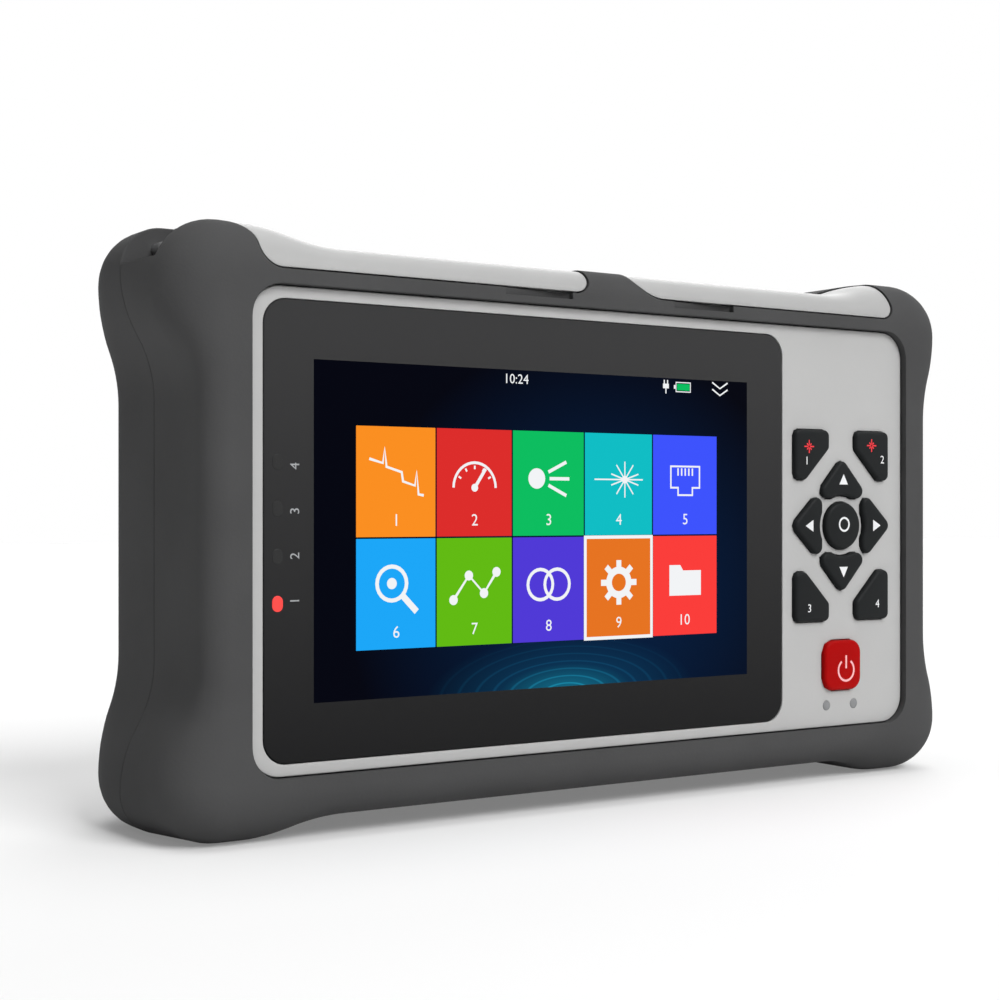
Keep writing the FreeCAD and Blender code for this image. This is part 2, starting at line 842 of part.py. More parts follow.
def front_case():
    """Hard front shell: the pale panel, its walls, posts and screw bosses."""
    shell = rimmed_block(-1, 0)
    panel = plate(0, 0, panel_width, panel_height, panel_corner, panel_plane, case_front + panel_root)
    shell = fused([shell, panel])
    shell = shell.cut(case_block(case_inner_front, 1, -case_wall, -case_wall))
    additions = []
    light_posts = [(light_side, z) for z in (-light_post_level, light_post_level)]
    for places, radius, end in ((screw_places(), screw_boss_radius, 0), (main_posts(), main_post_radius, main_board_depth),
                                (keypad_posts(), keypad_post_radius, keypad_board_front),
                                (light_posts, light_post_radius, light_board_front),
                                (bracket_ears(), bracket_post_radius, bracket_front)):
        for x, z in places:
            additions.append(post(x, case_inner_front, z, radius, end - case_inner_front, axis_y))
    shell = fused([shell] + additions)
    pocket = panel_plane + lens_thickness + lens_glue
    cutters = [
        plate(screen_centre, 0, lens_width + 2 * lens_gap, lens_height + 2 * lens_gap,
              lens_corner + lens_gap, panel_plane - 1, pocket),
        block_y(screen_centre, 0, lcd_width + 2 * lcd_gap, lcd_height + 2 * lcd_gap, panel_plane - 1, bracket_front),
        tray_space(tray_gap),
    ]
    for name in key_centres():
        cutters.append(key_blank(name, panel_plane - 1, case_inner_front + 1, key_gap, key_gap))
    for x in status_sides():
        cutters.append(post(x, panel_plane - 1, status_light_level, status_light_radius + light_gap,
                            case_inner_front + 2 - panel_plane, axis_y, 12))
    for z in light_levels:
        cutters.append(light_pipe(z, light_gap))
    for x, z in screw_places():
        cutters.append(post(x, case_inner_front + screw_boss_roof, z, screw_radius / post_grip, body_depth, axis_y))
    return without(shell, cutters)


def rear_case():
    """Hard rear shell: the back panel with the stand recess, its walls and screw bosses."""
    shell = rimmed_block(1, 0)
    panel = plate(0, 0, panel_width, panel_height, panel_corner, case_rear - panel_root, back_plane)
    shell = fused([shell, panel])
    shell = shell.cut(case_block(-1, case_inner_rear, -case_wall, -case_wall))
    half = stand_width / 2 + 2 * stand_pin_seat
    rib = box(-half, half, case_inner_rear - stand_rib_depth, case_inner_rear + panel_root,
              stand_hinge_level - stand_rib_height / 2, stand_hinge_level + stand_rib_height / 2)
    bosses = [post(x, 0, z, screw_boss_radius, case_inner_rear + panel_root, axis_y) for x, z in screw_places()]
    shell = fused([shell, rib] + bosses)
    cutters = [tray_space(tray_gap), seal_ring(), stand_recess(), stand_pin()]
    for x, z in screw_places():
        cutters.append(post(x, -1, z, screw_hole_radius / post_grip, body_depth, axis_y))
        cutters.append(post(x, back_plane - screw_seat_depth, z, screw_head_radius + screw_head_gap, body_depth, axis_y, 16))
    return without(shell, cutters)


def stand_recess():
    """Recess in the back panel for the stand, its hinge barrel and a fingertip at its foot."""
    half = stand_width / 2 + stand_gap
    top = stand_hinge_level + stand_barrel_radius + stand_gap
    foot = stand_hinge_level - stand_length - stand_gap
    floor = back_plane - stand_sink - stand_thickness - stand_gap / 2
    pocket = box(-half, half, floor, back_plane + 1, foot, top)
    clear = stand_barrel_radius + stand_gap
    barrel = box(-half, half, stand_pin_depth() - clear, back_plane + 1, stand_hinge_level - clear, top)
    finger = post(0, floor, foot, stand_finger_radius, back_plane + 1 - floor, axis_y, 12)
    return fused([pocket, barrel, finger])


def stand_pin_depth():
    """Depth of the stand's hinge axis: its barrel is flush with the outer face of the stand."""
    return back_plane - stand_sink - stand_barrel_radius


def stand_pin():
    """Steel pin of the stand hinge, its ends seated in the back panel."""
    half = stand_width / 2 + stand_gap + stand_pin_seat
    return rod(-half, stand_pin_depth(), stand_hinge_level, stand_pin_radius, 2 * half, axis_x)


def stand():
    """Fold-out stand: a plate with a window, ribs along its sides and a hinge barrel along its top."""
    outer = back_plane - stand_sink
    foot = stand_hinge_level - stand_length
    w = stand_width / 2
    leaf = soft_block([(-w, foot), (w, foot), (w, stand_hinge_level), (-w, stand_hinge_level)], stand_corner,
                      outer - stand_thickness, outer, 0, 0)
    square = box(-w, w, outer - stand_thickness, outer, stand_hinge_level - 2 * stand_corner, stand_hinge_level)
    barrel = rod(-w, stand_pin_depth(), stand_hinge_level, stand_barrel_radius, stand_width, axis_x)
    half = stand_window_width / 2
    sill = foot + stand_window_sill
    window = soft_block([(-half, sill), (half, sill), (half, sill + stand_window_height),
                         (-half, sill + stand_window_height)], stand_window_corner,
                        outer - stand_thickness - 1, outer + 1, 0, 0)
    bore = rod(-stand_width, stand_pin_depth(), stand_hinge_level,
               stand_pin_radius + hinge_running_gap, 2 * stand_width, axis_x)
    return without(fused([leaf, square, barrel]), [window, bore])


def cover(name):
    """Top cover: a shell cut from the body form, with a hinge barrel along its rear edge."""
    hinge = covers[name][-1]
    region = cover_region(*covers[name], 0, 0)
    body = front_form(cover_sink).fuse(rear_form(cover_sink))
    start, end = hinge
    bay_front = front_plane + cover_sink + front_round_flat
    hollow = box(start - hinge_lug_width, end + hinge_lug_width, bay_front, hinge_depth - barrel_radius - 1,
                 case_half_height - 1, flat_height / 2 - cover_sink - cover_wall)
    rear_trim = box(-body_width, body_width, hinge_depth, body_depth, 0, body_height)
    skin = without(body.common(region), [hollow, rimmed_block(-1, case_clearance), rimmed_block(1, case_clearance), rear_trim])
    barrel = rod(start + hinge_side_gap, hinge_depth, hinge_level, barrel_radius,
                 end - start - 2 * hinge_side_gap, axis_x)
    result = fused([skin, barrel])
    reach = 2 * hinge_lug_width
    cutters = [rod(start - reach, hinge_depth, hinge_level, hinge_pin_radius + hinge_running_gap,
                   end - start + 2 * reach, axis_x)]
    for x0, x1 in hinge_lugs(hinge):
        cutters.append(box(x0 - hinge_side_gap, x1 + hinge_side_gap, hinge_depth - barrel_radius - barrel_clearance,
                           hinge_depth + body_depth, hinge_level - 2 * barrel_radius, body_height))
    return without(result, cutters)


def port_tray():
    """Tray that closes the tops of the cases: two port bays, and the lugs of the cover hinges."""
    top = case_half_height
    block = box(-tray_half_width, tray_half_width, case_inner_front + tray_gap, tray_rear, tray_bottom, top)
    pieces = [block]
    hinges = [plan[-1] for plan in covers.values()]
    for hinge in hinges:
        for x0, x1 in hinge_lugs(hinge):
            pieces.append(post(x0, hinge_depth, hinge_level, hinge_lug_radius, x1 - x0, axis_x))
    tray = fused(pieces)
    bay_front = case_inner_front + tray_gap + tray_wall
    bay_rear = tray_rear - tray_back_wall
    cutters = [box(x0, x1, bay_front, bay_rear, tray_bottom + tray_floor, top + 1) for x0, x1 in (optical_bay, data_bay)]
    cutters.append(box(optical_bay[1] + tray_wall, data_bay[0] - tray_wall, bay_front, bay_rear,
                       tray_bottom - 1, top - tray_floor))
    clear = barrel_radius + barrel_clearance
    for start, end in hinges:
        cutters.append(box(start, end, hinge_depth - clear, tray_rear + 1, hinge_level - clear, top + 1))
        cutters.append(rod(start - hinge_lug_width - 1, hinge_depth, hinge_level, hinge_pin_radius,
                           end - start + 2 * hinge_lug_width + 2, axis_x))
    for x in optical_port_sides:
        cutters.append(post(x, port_level, tray_bottom - 1, adapter_tail_radius + socket_hole_gap, tray_floor + 2, axis_z))
    return without(tray, cutters + list(socket_blanks(socket_hole_gap).values()))


def hinge_pin(name):
    """Steel hinge pin of a cover, tight in the tray's lugs."""
    start, end = covers[name][-1]
    return rod(start - hinge_lug_width, hinge_depth, hinge_level, hinge_pin_radius,
               end - start + 2 * hinge_lug_width, axis_x)


def adapter(x, keyed):
    """Bulkhead adapter for a 2.5 mm ferrule: flange, keyed barrel, sleeve bore and a tail under the tray."""
    floor = tray_bottom + tray_floor
    flange = box(x - adapter_flange / 2, x + adapter_flange / 2, port_level - adapter_flange / 2,
                 port_level + adapter_flange / 2, floor, floor + adapter_flange_thickness)
    barrel_foot = floor + adapter_flange_thickness
    barrel = post(x, port_level, barrel_foot, adapter_barrel_radius, adapter_barrel_height, axis_z, adapter_chords)
    tail = post(x, port_level, floor - tray_floor - adapter_tail_length, adapter_tail_radius,
               adapter_tail_length + tray_floor, axis_z)
    top = barrel_foot + adapter_barrel_height
    groove = box(x - adapter_key_width / 2, x + adapter_key_width / 2, port_level - adapter_barrel_radius - 1,
                 port_level - adapter_barrel_radius + adapter_key_depth, barrel_foot + adapter_key_foot, top + 1)
    recess = post(x, port_level, top - sleeve_recess_depth, sleeve_recess_radius, sleeve_recess_depth + 1, axis_z)
    bore = rod(x, port_level, floor - tray_floor - adapter_tail_length - 1, ferrule_bore_radius, body_height, axis_z)
    cutters = [recess, bore]
    if keyed:
        cutters.append(groove)
    return without(fused([flange, barrel, tail]), cutters)


def laser_can(x, radius):
    """Round metal can of a light source or detector, on the tail of its adapter."""
    top = tray_bottom - adapter_tail_length - seat_gap
    can = post(x, port_level, top - laser_length, radius, laser_length, axis_z)
    collar = post(x, port_level, top - laser_length, radius + laser_collar, laser_collar_height, axis_z)
    return fused([can, collar])


def socket_blanks(gap):
    """Outer blocks of the three sockets on the data side."""
    foot = tray_bottom - port_board_gap
    sizes = {
        "dc_jack": (dc_jack_side, dc_jack_width, dc_jack_width),
        "usb_socket": (usb_side, usb_width, usb_depth),
        "lan_socket": (lan_side, lan_width, lan_depth),
    }
    blanks = {}
    for name, (x, width, depth) in sizes.items():
        blanks[name] = box(x - width / 2 - gap, x + width / 2 + gap, port_level - depth / 2 - gap,
                           port_level + depth / 2 + gap, foot, foot + socket_height)
    return blanks


def dc_jack():
    """Round power socket with a centre pin."""
    blank = socket_blanks(0)["dc_jack"]
    top = tray_bottom - port_board_gap + socket_height
    floor = top - dc_jack_depth
    bore = post(dc_jack_side, port_level, floor, dc_jack_bore, dc_jack_depth + 1, axis_z, adapter_chords)
    pin = post(dc_jack_side, port_level, floor - weld, dc_jack_pin, dc_jack_depth + weld - dc_jack_pin_sink, axis_z)
    return fused([blank.cut(bore), pin])


def usb_socket():
    """Flat metal-shelled data socket with its tongue."""
    blank = socket_blanks(0)["usb_socket"]
    top = tray_bottom - port_board_gap + socket_height
    half_width = usb_width / 2 - usb_wall
    half_depth = usb_depth / 2 - usb_wall
    mouth = box(usb_side - half_width, usb_side + half_width, port_level - half_depth, port_level + half_depth,
                top - usb_mouth_depth, top + 1)
    tongue_half = half_width - usb_tongue_sink
    tongue_rear = port_level + half_depth - usb_tongue_gap
    tongue = box(usb_side - tongue_half, usb_side + tongue_half, tongue_rear - usb_tongue, tongue_rear,
                 top - usb_mouth_depth - weld, top - usb_tongue_sink)
    return fused([blank.cut(mouth), tongue])


def lan_socket():
    """Square cable-test socket with its latch channel and contact comb."""
    blank = socket_blanks(0)["lan_socket"]
    top = tray_bottom - port_board_gap + socket_height
    floor = top - lan_mouth_depth
    front = port_level - lan_opening_depth / 2 - lan_opening_shift
    mouth = box(lan_side - lan_opening_width / 2, lan_side + lan_opening_width / 2, front, front + lan_opening_depth,
                floor, top + 1)
    latch = box(lan_side - lan_latch_width / 2, lan_side + lan_latch_width / 2, front + lan_opening_depth - weld,
                front + lan_opening_depth + lan_latch_depth, floor, top + 1)
    contacts = []
    for index in range(lan_contacts):
        x = lan_side + (index - (lan_contacts - 1) / 2) * lan_contact_pitch - lan_contact_width / 2
        contacts.append(box(x, x + lan_contact_width, front - weld, front + 2 * lan_contact_width,
                            floor - weld, top - lan_contact_sink))
    return fused([blank.cut(mouth).cut(latch)] + contacts)


def port_board():
    """Small board under the data bay that the sockets stand on."""
    top = tray_bottom - port_board_gap
    return box(data_bay[0] - port_board_margin, data_bay[1] + port_board_margin, port_level - port_board_depth / 2,
               port_level + port_board_depth / 2, top - board_thickness, top)


def bracket_ears():
    """Centres of the four ears of the screen bracket."""
    offset = lcd_width / 2 + bracket_ear_reach
    level = lcd_height / 2 - bracket_ear_drop
    return [(screen_centre + dx * offset, dz * level) for dx in (-1, 1) for dz in (-1, 1)]


def screen_lens():
    """Clear front window over the screen and the indicator lights."""
    return plate(screen_centre, 0, lens_width, lens_height, lens_corner, panel_plane, panel_plane + lens_thickness)


def lcd_module():
    """Flat screen module with a step round its glass."""
    body = block_y(screen_centre, 0, lcd_width, lcd_height, lcd_front + lcd_glass_step, lcd_front + lcd_thickness)
    glass = block_y(screen_centre, 0, lcd_width - 2 * lcd_glass_border_x, lcd_height - 2 * lcd_glass_border_z,
                    lcd_front, lcd_front + lcd_glass_step + weld)
    return fused([body, glass])


def lcd_bracket():
    """Pressed steel frame that clamps the screen module to the front case."""
    rear = bracket_front + bracket_thickness
    frame = block_y(screen_centre, 0, lcd_width, lcd_height - 2 * lcd_gap, bracket_front, rear)
    window = block_y(screen_centre, 0, lcd_width - 2 * bracket_band, lcd_height - 2 * bracket_band,
                     bracket_front - 1, rear + 1)
    ears = [block_y(x, z, bracket_ear_width, bracket_ear_height, bracket_front, rear) for x, z in bracket_ears()]
    holes = [post(x, bracket_front - 1, z, bracket_hole_radius, bracket_thickness + 2, axis_y) for x, z in bracket_ears()]
    return without(fused([frame] + ears), [window] + holes)


def light_pipe(level, grow):
    """One oval light guide from the back of the lens to the indicator board."""
    return block_y(light_side, level, light_width + 2 * grow, light_height + 2 * grow, lcd_front, light_board_front)


def status_sides():
    """Sides of the two round status lights under the keypad."""
    return [keypad_side - status_light_spread, keypad_side + status_light_spread]


def keypad_posts():
    """Posts that carry the keypad board."""
    left = keypad_side - keypad_board_width / 2 + keypad_post_radius
    right = keypad_side + keypad_board_width / 2 - keypad_post_radius
    top = keypad_board_top - keypad_post_margin
    foot = keypad_board_bottom + keypad_post_radius
    return [(left, top), (right, top), (left, foot), (screw_side - screw_boss_radius - keypad_post_margin, foot)]


def keypad_board():
    """Circuit board behind the keys."""
    half = keypad_board_width / 2
    board = box(keypad_side - half, keypad_side + half, keypad_board_front, keypad_board_front + board_thickness,
                keypad_board_bottom, keypad_board_top)
    relief = post(screw_side, keypad_board_front - 1, -screw_level, screw_boss_radius + boss_relief,
                  board_thickness + 2, axis_y)
    return board.cut(relief)


def mat_bounds():
    """Left, right, bottom and top of the keypad mat."""
    reach = corner_key_offset_x + corner_key_width / 2 + key_flange + mat_margin
    bottom = -screw_level + screw_boss_radius + mat_margin
    top = keypad_level + corner_key_offset_z + corner_key_height / 2 + key_flange + mat_margin
    return keypad_side - reach, keypad_side + reach, bottom, top


def keypad_mat():
    """Silicone mat that stands on the board round its rim, with a hole for each key stem."""
    x0, x1, z0, z1 = mat_bounds()
    sheet_front = flange_rear + key_travel + mat_gap
    sheet_rear = sheet_front + mat_thickness
    block = box(x0, x1, sheet_front, keypad_board_front, z0, z1)
    hollow = box(x0 + mat_rim, x1 - mat_rim, sheet_rear, keypad_board_front + 1, z0 + mat_rim, z1 - mat_rim)
    holes = []
    for name in key_centres():
        x, z = stem_point(name)
        reach = key_stem_radius + mat_hole_gap
        holes.append(box(x - reach, x + reach, sheet_front - 1, sheet_rear + 1, z - reach, z + reach))
    return without(block, [hollow] + holes)


def key_domes():
    """Snap domes on the board, one under each key stem, with a raised middle."""
    domes = []
    for name in key_centres():
        x, z = stem_point(name)
        rings = []
        for reach, y in ((dome_radius, keypad_board_front), (dome_crown, keypad_board_front - dome_height)):
            rings.append([Vector(x + dx * reach, y, mid + z + dz * reach)
                          for dx, dz in ((-1, -1), (1, -1), (1, 1), (-1, 1))])
        domes.append(flat_sided(rings[0], rings[1]))
    return Part.makeCompound(domes)


def status_lights():
    """Two round light guides from the panel to the keypad board."""
    length = keypad_board_front - panel_plane
    return Part.makeCompound([post(x, panel_plane, status_light_level, status_light_radius, length, axis_y, 12)
                              for x in status_sides()])


def light_board():
    """Narrow board behind the indicator lights."""
    return box(light_side - light_board_width / 2, light_side + light_board_width / 2, light_board_front,
               light_board_front + board_thickness, -light_board_height / 2, light_board_height / 2)


def main_board():
    """Main circuit board, cut back round the corner bosses and the indicator board."""
    board = box(main_board_left, main_board_right, main_board_depth, main_board_depth + board_thickness,
                main_board_bottom, main_board_top)
    relief = post(-screw_side, main_board_depth - 1, -screw_level, screw_boss_radius + boss_relief,
                  board_thickness + 2, axis_y)
    rear = main_board_depth + board_thickness
    chips = [box(chip_column, chip_column + chip_column_width, rear, rear + thickness, foot, foot + height)
             for foot, height, thickness in chip_heights]
    return fused([board.cut(relief)] + chips)


def optics_module():
    """Metal-cased optical measuring module with cooling grooves across its lid."""
    front = main_board_depth + board_thickness + seat_gap
    rear = front + module_thickness
    body = box(module_left, module_right, front, rear, module_bottom, module_top)
    grooves = []
    count = int((module_right - module_left) / module_fin_pitch) - 2
    for index in range(count):
        x = module_left + module_fin_pitch * (index + 1.5) - module_fin_width / 2
        grooves.append(box(x, x + module_fin_width, rear - module_fin_depth, rear + 1,
                           module_bottom + module_fin_margin, module_top - module_fin_margin))
    return without(body, grooves)


def battery_pack():
    """Flat rechargeable pack, seated against the back of the rear case, with its lead connector on one end."""
    rear = case_inner_rear - seat_gap
    bottom = battery_bottom
    pack = box(-battery_width / 2, battery_width / 2, rear - battery_thickness, rear, bottom, battery_top)
    pack = pack.makeChamfer(battery_bevel, edges_along(pack, axis_x))
    end = battery_width / 2
    plug = box(end, end + battery_plug, rear - battery_thickness + battery_plug, rear - battery_plug,
               bottom + battery_plug, bottom + 3 * battery_plug)
    return fused([pack, plug])


def case_screws():
    """Four machine screws, driven from the back."""
    seat = back_plane - screw_seat_depth
    screws = []
    for x, z in screw_places():
        shank = post(x, seat - screw_length, z, screw_radius, screw_length, axis_y)
        head = post(x, seat, z, screw_head_radius, screw_head_height, axis_y, 12)
        screws.append(fused([shank, head]))
    return Part.makeCompound(screws)


def indicator_lights():
    """The four oval light guides beside the screen."""
    return Part.makeCompound([light_pipe(level, 0) for level in light_levels])


def build():
    """Every piece by its node name."""
    parts = {
        "front_bumper": front_bumper(),
        "rear_bumper": rear_bumper(),
        "front_case": front_case(),
        "rear_case": rear_case(),
        "case_seal": seal_ring(),
        "case_screws": case_screws(),
        "strap_bars": Part.makeCompound([strap_bar(-1), strap_bar(1)]),
        "screen_lens": screen_lens(),
        "lcd_module": lcd_module(),
        "lcd_bracket": lcd_bracket(),
        "indicator_lights": indicator_lights(),
        "indicator_board": light_board(),
        "status_lights": status_lights(),
        "keypad_mat": keypad_mat(),
        "keypad_board": keypad_board(),
        "key_domes": key_domes(),
        "main_board": main_board(),
        "optics_module": optics_module(),
        "battery_pack": battery_pack(),
        "port_tray": port_tray(),
        "otdr_adapter": adapter(optical_port_sides[0], True),
        "power_meter_adapter": adapter(optical_port_sides[1], False),
        "fault_light_adapter": adapter(optical_port_sides[2], False),
        "power_meter_detector": laser_can(optical_port_sides[1], laser_radius),
        "fault_light_laser": laser_can(optical_port_sides[2], laser_radius),
        "port_board": port_board(),
        "dc_jack": dc_jack(),
        "usb_socket": usb_socket(),
        "lan_socket": lan_socket(),
        "optical_hinge_pin": hinge_pin("optical_cover"),
        "aux_hinge_pin": hinge_pin("aux_cover"),
        "stand": stand(),
        "stand_pin": stand_pin(),
    }
    for name in covers:
        parts[name] = cover(name)
    for name in key_centres():
        parts[name] = key(name)
    return parts


os.makedirs("parts", exist_ok=True)
for node, shape in build().items():
    shape.exportStep("parts/%s.step" % node)
    print(node, len(shape.Solids), shape.isValid(), round(shape.Volume, 1))
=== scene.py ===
"""Looks of a handheld fibre tester: rubber jackets, pale panels, a lit screen, keys and port covers.

Sizes are millimetres in the part's own frame: X along the front panel, Y from front to back, Z up.
Heights named level count from the middle of the body. Meshes are made in metres.
"""
import logging
import math
from dataclasses import dataclass, field
from enum import Enum
from typing import Callable, Iterable, Sequence

import bmesh
import bpy
from mathutils import Matrix, Vector


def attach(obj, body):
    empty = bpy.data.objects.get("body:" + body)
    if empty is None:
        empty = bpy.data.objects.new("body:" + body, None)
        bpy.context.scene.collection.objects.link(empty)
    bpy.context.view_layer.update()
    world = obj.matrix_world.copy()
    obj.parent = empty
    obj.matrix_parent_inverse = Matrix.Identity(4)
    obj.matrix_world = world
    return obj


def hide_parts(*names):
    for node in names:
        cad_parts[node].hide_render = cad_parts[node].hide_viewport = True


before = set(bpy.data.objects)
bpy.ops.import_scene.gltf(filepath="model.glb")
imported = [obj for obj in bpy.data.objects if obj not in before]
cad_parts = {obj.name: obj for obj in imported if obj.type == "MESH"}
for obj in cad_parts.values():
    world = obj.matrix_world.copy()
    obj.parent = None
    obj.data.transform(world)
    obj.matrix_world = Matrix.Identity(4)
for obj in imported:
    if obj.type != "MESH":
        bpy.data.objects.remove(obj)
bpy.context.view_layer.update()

log = logging.getLogger("tester")

MM = 0.001
MIDDLE = 58.4
PANEL_FACE = -23.5
WHITE = (1.0, 1.0, 1.0)
BLACK = (0.0, 0.0, 0.0)
ALONG_X, ALONG_Y, ALONG_Z = Vector((1, 0, 0)), Vector((0, 1, 0)), Vector((0, 0, 1))
CORNER_SIGNS = ((1, 1), (-1, 1), (-1, -1), (1, -1))

Point = tuple[float, float]
Place = tuple[float, float, float]
Colour = tuple[float, float, float]
Ring = list[Vector]
Piece = bpy.types.Object
Tree = bpy.types.NodeTree
Socket = bpy.types.NodeSocket
Inputs = dict[str | int, object]


class Facing(Enum):
    """Which way a half of the body looks along Y."""

    FRONT = -1
    REAR = 1


class Cut(Enum):
    """How one solid changes another."""

    AWAY = "DIFFERENCE"
    SHARED = "INTERSECT"
    JOINED = "UNION"


# Finishes


def fill(tree: Tree, made: bpy.types.Node, inputs: Inputs) -> None:
    """Sets the inputs of a node, or links them where a socket is given.

    Args:
        tree: The tree that holds the node.
        made: The node.
        inputs: Values and sockets, by the name or number of the input.
    """
    for key, value in inputs.items():
        if isinstance(value, Socket):
            tree.links.new(value, made.inputs[key])
        else:
            made.inputs[key].default_value = value


def node(tree: Tree, kind: str, inputs: Inputs, **settings: object) -> bpy.types.Node:
    """A new shader node.

    Args:
        tree: The tree that gets it.
        kind: Its type, without the prefix that all share.
        inputs: Values and sockets, by the name or number of the input.
        settings: Its other settings.

    Returns:
        The node.
    """
    made = tree.nodes.new("ShaderNode" + kind)
    for name, value in settings.items():
        setattr(made, name, value)
    fill(tree, made, inputs)
    return made


def ramp(tree: Tree, along: Socket, stops: Sequence[tuple[float, Colour]]) -> Socket:
    """Colour that changes along a value.

    Args:
        tree: The tree that gets the nodes.
        along: The value.
        stops: The colours, each with the value at which it stands.

    Returns:
        The colour.
    """
    made = node(tree, "ValToRGB", {"Fac": along})
    marks = made.color_ramp.elements
    for index, (share, colour) in enumerate(stops):
        mark = marks[0] if index == 0 else marks[-1] if index == len(stops) - 1 else marks.new(share)
        mark.position, mark.color = share, (*colour, 1.0)
    return made.outputs["Color"]


@dataclass(frozen=True)
class Surface:
    """What all finishes share: a name, and one material that is made on first use."""

    name: str

    def material(self) -> bpy.types.Material:
        """The material of this finish, made once.

        Returns:
            The material, whose looks come from its nodes.
        """
        made = bpy.data.materials.get(self.name)
        if made is None:
            made = bpy.data.materials.new(self.name)
            made.use_nodes = True
            tree = made.node_tree
            place = node(tree, "TexCoord", {}).outputs["Object"]
            fill(tree, tree.nodes["Principled BSDF"], self.looks(tree, place))
        return made

    def looks(self, tree: Tree, place: Socket) -> Inputs:
        """The inputs of the surface shader, which each finish makes in its own way.

        Args:
            tree: The material's nodes.
            place: The place on the piece.

        Returns:
            Values and sockets, by the name of the input.
        """
        raise NotImplementedError


@dataclass(frozen=True)
class Finish(Surface):
    """A moulded, cast or painted surface with fine grain, uneven tone and softened edges."""

    colour: Colour
    roughness: float = 0.5
    metallic: float = 0.0
    grain_scale: float = 2600.0
    grain_height: float = 0.00002
    grain_strength: float = 0.6
    tone_spread: float = 0.06
    tone_scale: float = 45.0
    gloss_spread: float = 0.07
    edge_radius: float = 0.0003
    specular: float = 0.5
    coat: float = 0.0
    glow: float = 0.0

    def looks(self, tree: Tree, place: Socket) -> Inputs:
        """Tone from a broad noise, and grain in bump and roughness from a fine one.

        Args:
            tree: The material's nodes.
            place: The place on the piece.

        Returns:
            Values and sockets, by the name of the input.
        """
        low, high = (tuple(channel * share for channel in self.colour)
                     for share in (1 - self.tone_spread, 1 + self.tone_spread))
        cloud = node(tree, "TexNoise", {"Vector": place, "Scale": self.tone_scale, "Detail": 4.0})
        fine = {"Vector": place, "Scale": self.grain_scale, "Detail": 2.0}
        speckle = node(tree, "TexNoise", fine).outputs["Fac"]
        least = max(self.roughness - self.gloss_spread, 0.02)
        gloss = node(tree, "MapRange", {"Value": speckle, "To Min": least,
                                        "To Max": self.roughness + self.gloss_spread})
        edge = node(tree, "Bevel", {"Radius": self.edge_radius}, samples=4)
        bump = node(tree, "Bump", {"Strength": self.grain_strength, "Distance": self.grain_height,
                                   "Height": speckle, "Normal": edge.outputs["Normal"]})
        return {"Base Color": ramp(tree, cloud.outputs["Fac"], ((0.3, low), (0.7, high))),
                "Roughness": gloss.outputs["Result"], "Normal": bump.outputs["Normal"],
                "Metallic": self.metallic, "Specular IOR Level": self.specular, "Coat Weight": self.coat,
                "Emission Color": (*self.colour, 1.0), "Emission Strength": self.glow}


def ink(name: str, colour: Colour, roughness: float) -> Finish:
    """A thin print, with hardly any grain."""
    return Finish(name, colour, roughness, grain_height=0.000002, edge_radius=0.00001)


RUBBER = Finish("jacket_rubber", (0.067, 0.0672, 0.068), 0.68, grain_scale=1500, grain_height=0.00005,
                specular=0.02)
PANEL = Finish("panel_plastic", (0.415, 0.415, 0.412), 0.5, grain_scale=2200, tone_spread=0.02)
COVER = Finish("cover_plastic", (0.34, 0.34, 0.338), 0.45, grain_scale=2200, tone_spread=0.02, specular=0.35)
KEY = Finish("key_plastic", (0.0135, 0.0148, 0.0154), 0.42, grain_scale=1800, grain_height=0.00003,
             specular=0.06)
RED_KEY = Finish("power_key_plastic", (0.35, 0.001, 0.001), 0.5, grain_scale=1800, specular=0.06)
INK = ink("pale_print", (0.72, 0.73, 0.74), 0.6)
GREY_INK = ink("grey_print", (0.30, 0.31, 0.32), 0.6)
ROSE_INK = ink("power_print", (0.9, 0.42, 0.42), 0.5)
RED_INK = ink("red_print", (0.75, 0.02, 0.03), 0.5)
TRAY = Finish("tray_plastic", (0.05, 0.051, 0.054), 0.55, grain_scale=2000)
SOCKET = Finish("socket_plastic", (0.018, 0.018, 0.019), 0.4)
STEEL = Finish("brushed_steel", (0.52, 0.52, 0.53), 0.32, metallic=1.0, grain_scale=3500, tone_spread=0.05)
NICKEL = Finish("nickel_plate", (0.66, 0.64, 0.6), 0.22, metallic=1.0, grain_scale=3000, tone_spread=0.04)
ALLOY = Finish("milled_alloy", (0.62, 0.63, 0.64), 0.38, metallic=1.0, grain_scale=1200, tone_spread=0.05)
CERAMIC = Finish("sleeve_ceramic", (0.8, 0.79, 0.76), 0.25, grain_scale=3000, tone_spread=0.02)
BOARD = Finish("board_resist", (0.015, 0.13, 0.045), 0.35, grain_scale=900, tone_spread=0.25, coat=0.4)
SILICONE = Finish("grey_silicone", (0.28, 0.28, 0.28), 0.6, grain_scale=1500)
WRAP = Finish("battery_wrap", (0.03, 0.05, 0.16), 0.3, grain_scale=500, tone_spread=0.1)
BLACK_GLASS = Finish("screen_module", (0.015, 0.016, 0.02), 0.2, grain_scale=3000)
LIT_RED = Finish("lit_red_guide", (0.72, 0.045, 0.04), 0.3, grain_height=0.000004, specular=0.2, glow=0.45)
DARK_GUIDE = Finish("dark_guide", (0.028, 0.0282, 0.0284), 0.25, grain_height=0.000004, specular=0.08)
CLEAR_GUIDE = Finish("clear_guide", (0.20, 0.205, 0.21), 0.2, grain_height=0.000004)
SCREEN_FACE: Inputs = {"Base Color": (*BLACK, 1.0), "Specular IOR Level": 0.02, "Roughness": 0.12,
                       "Emission Strength": 1.0}


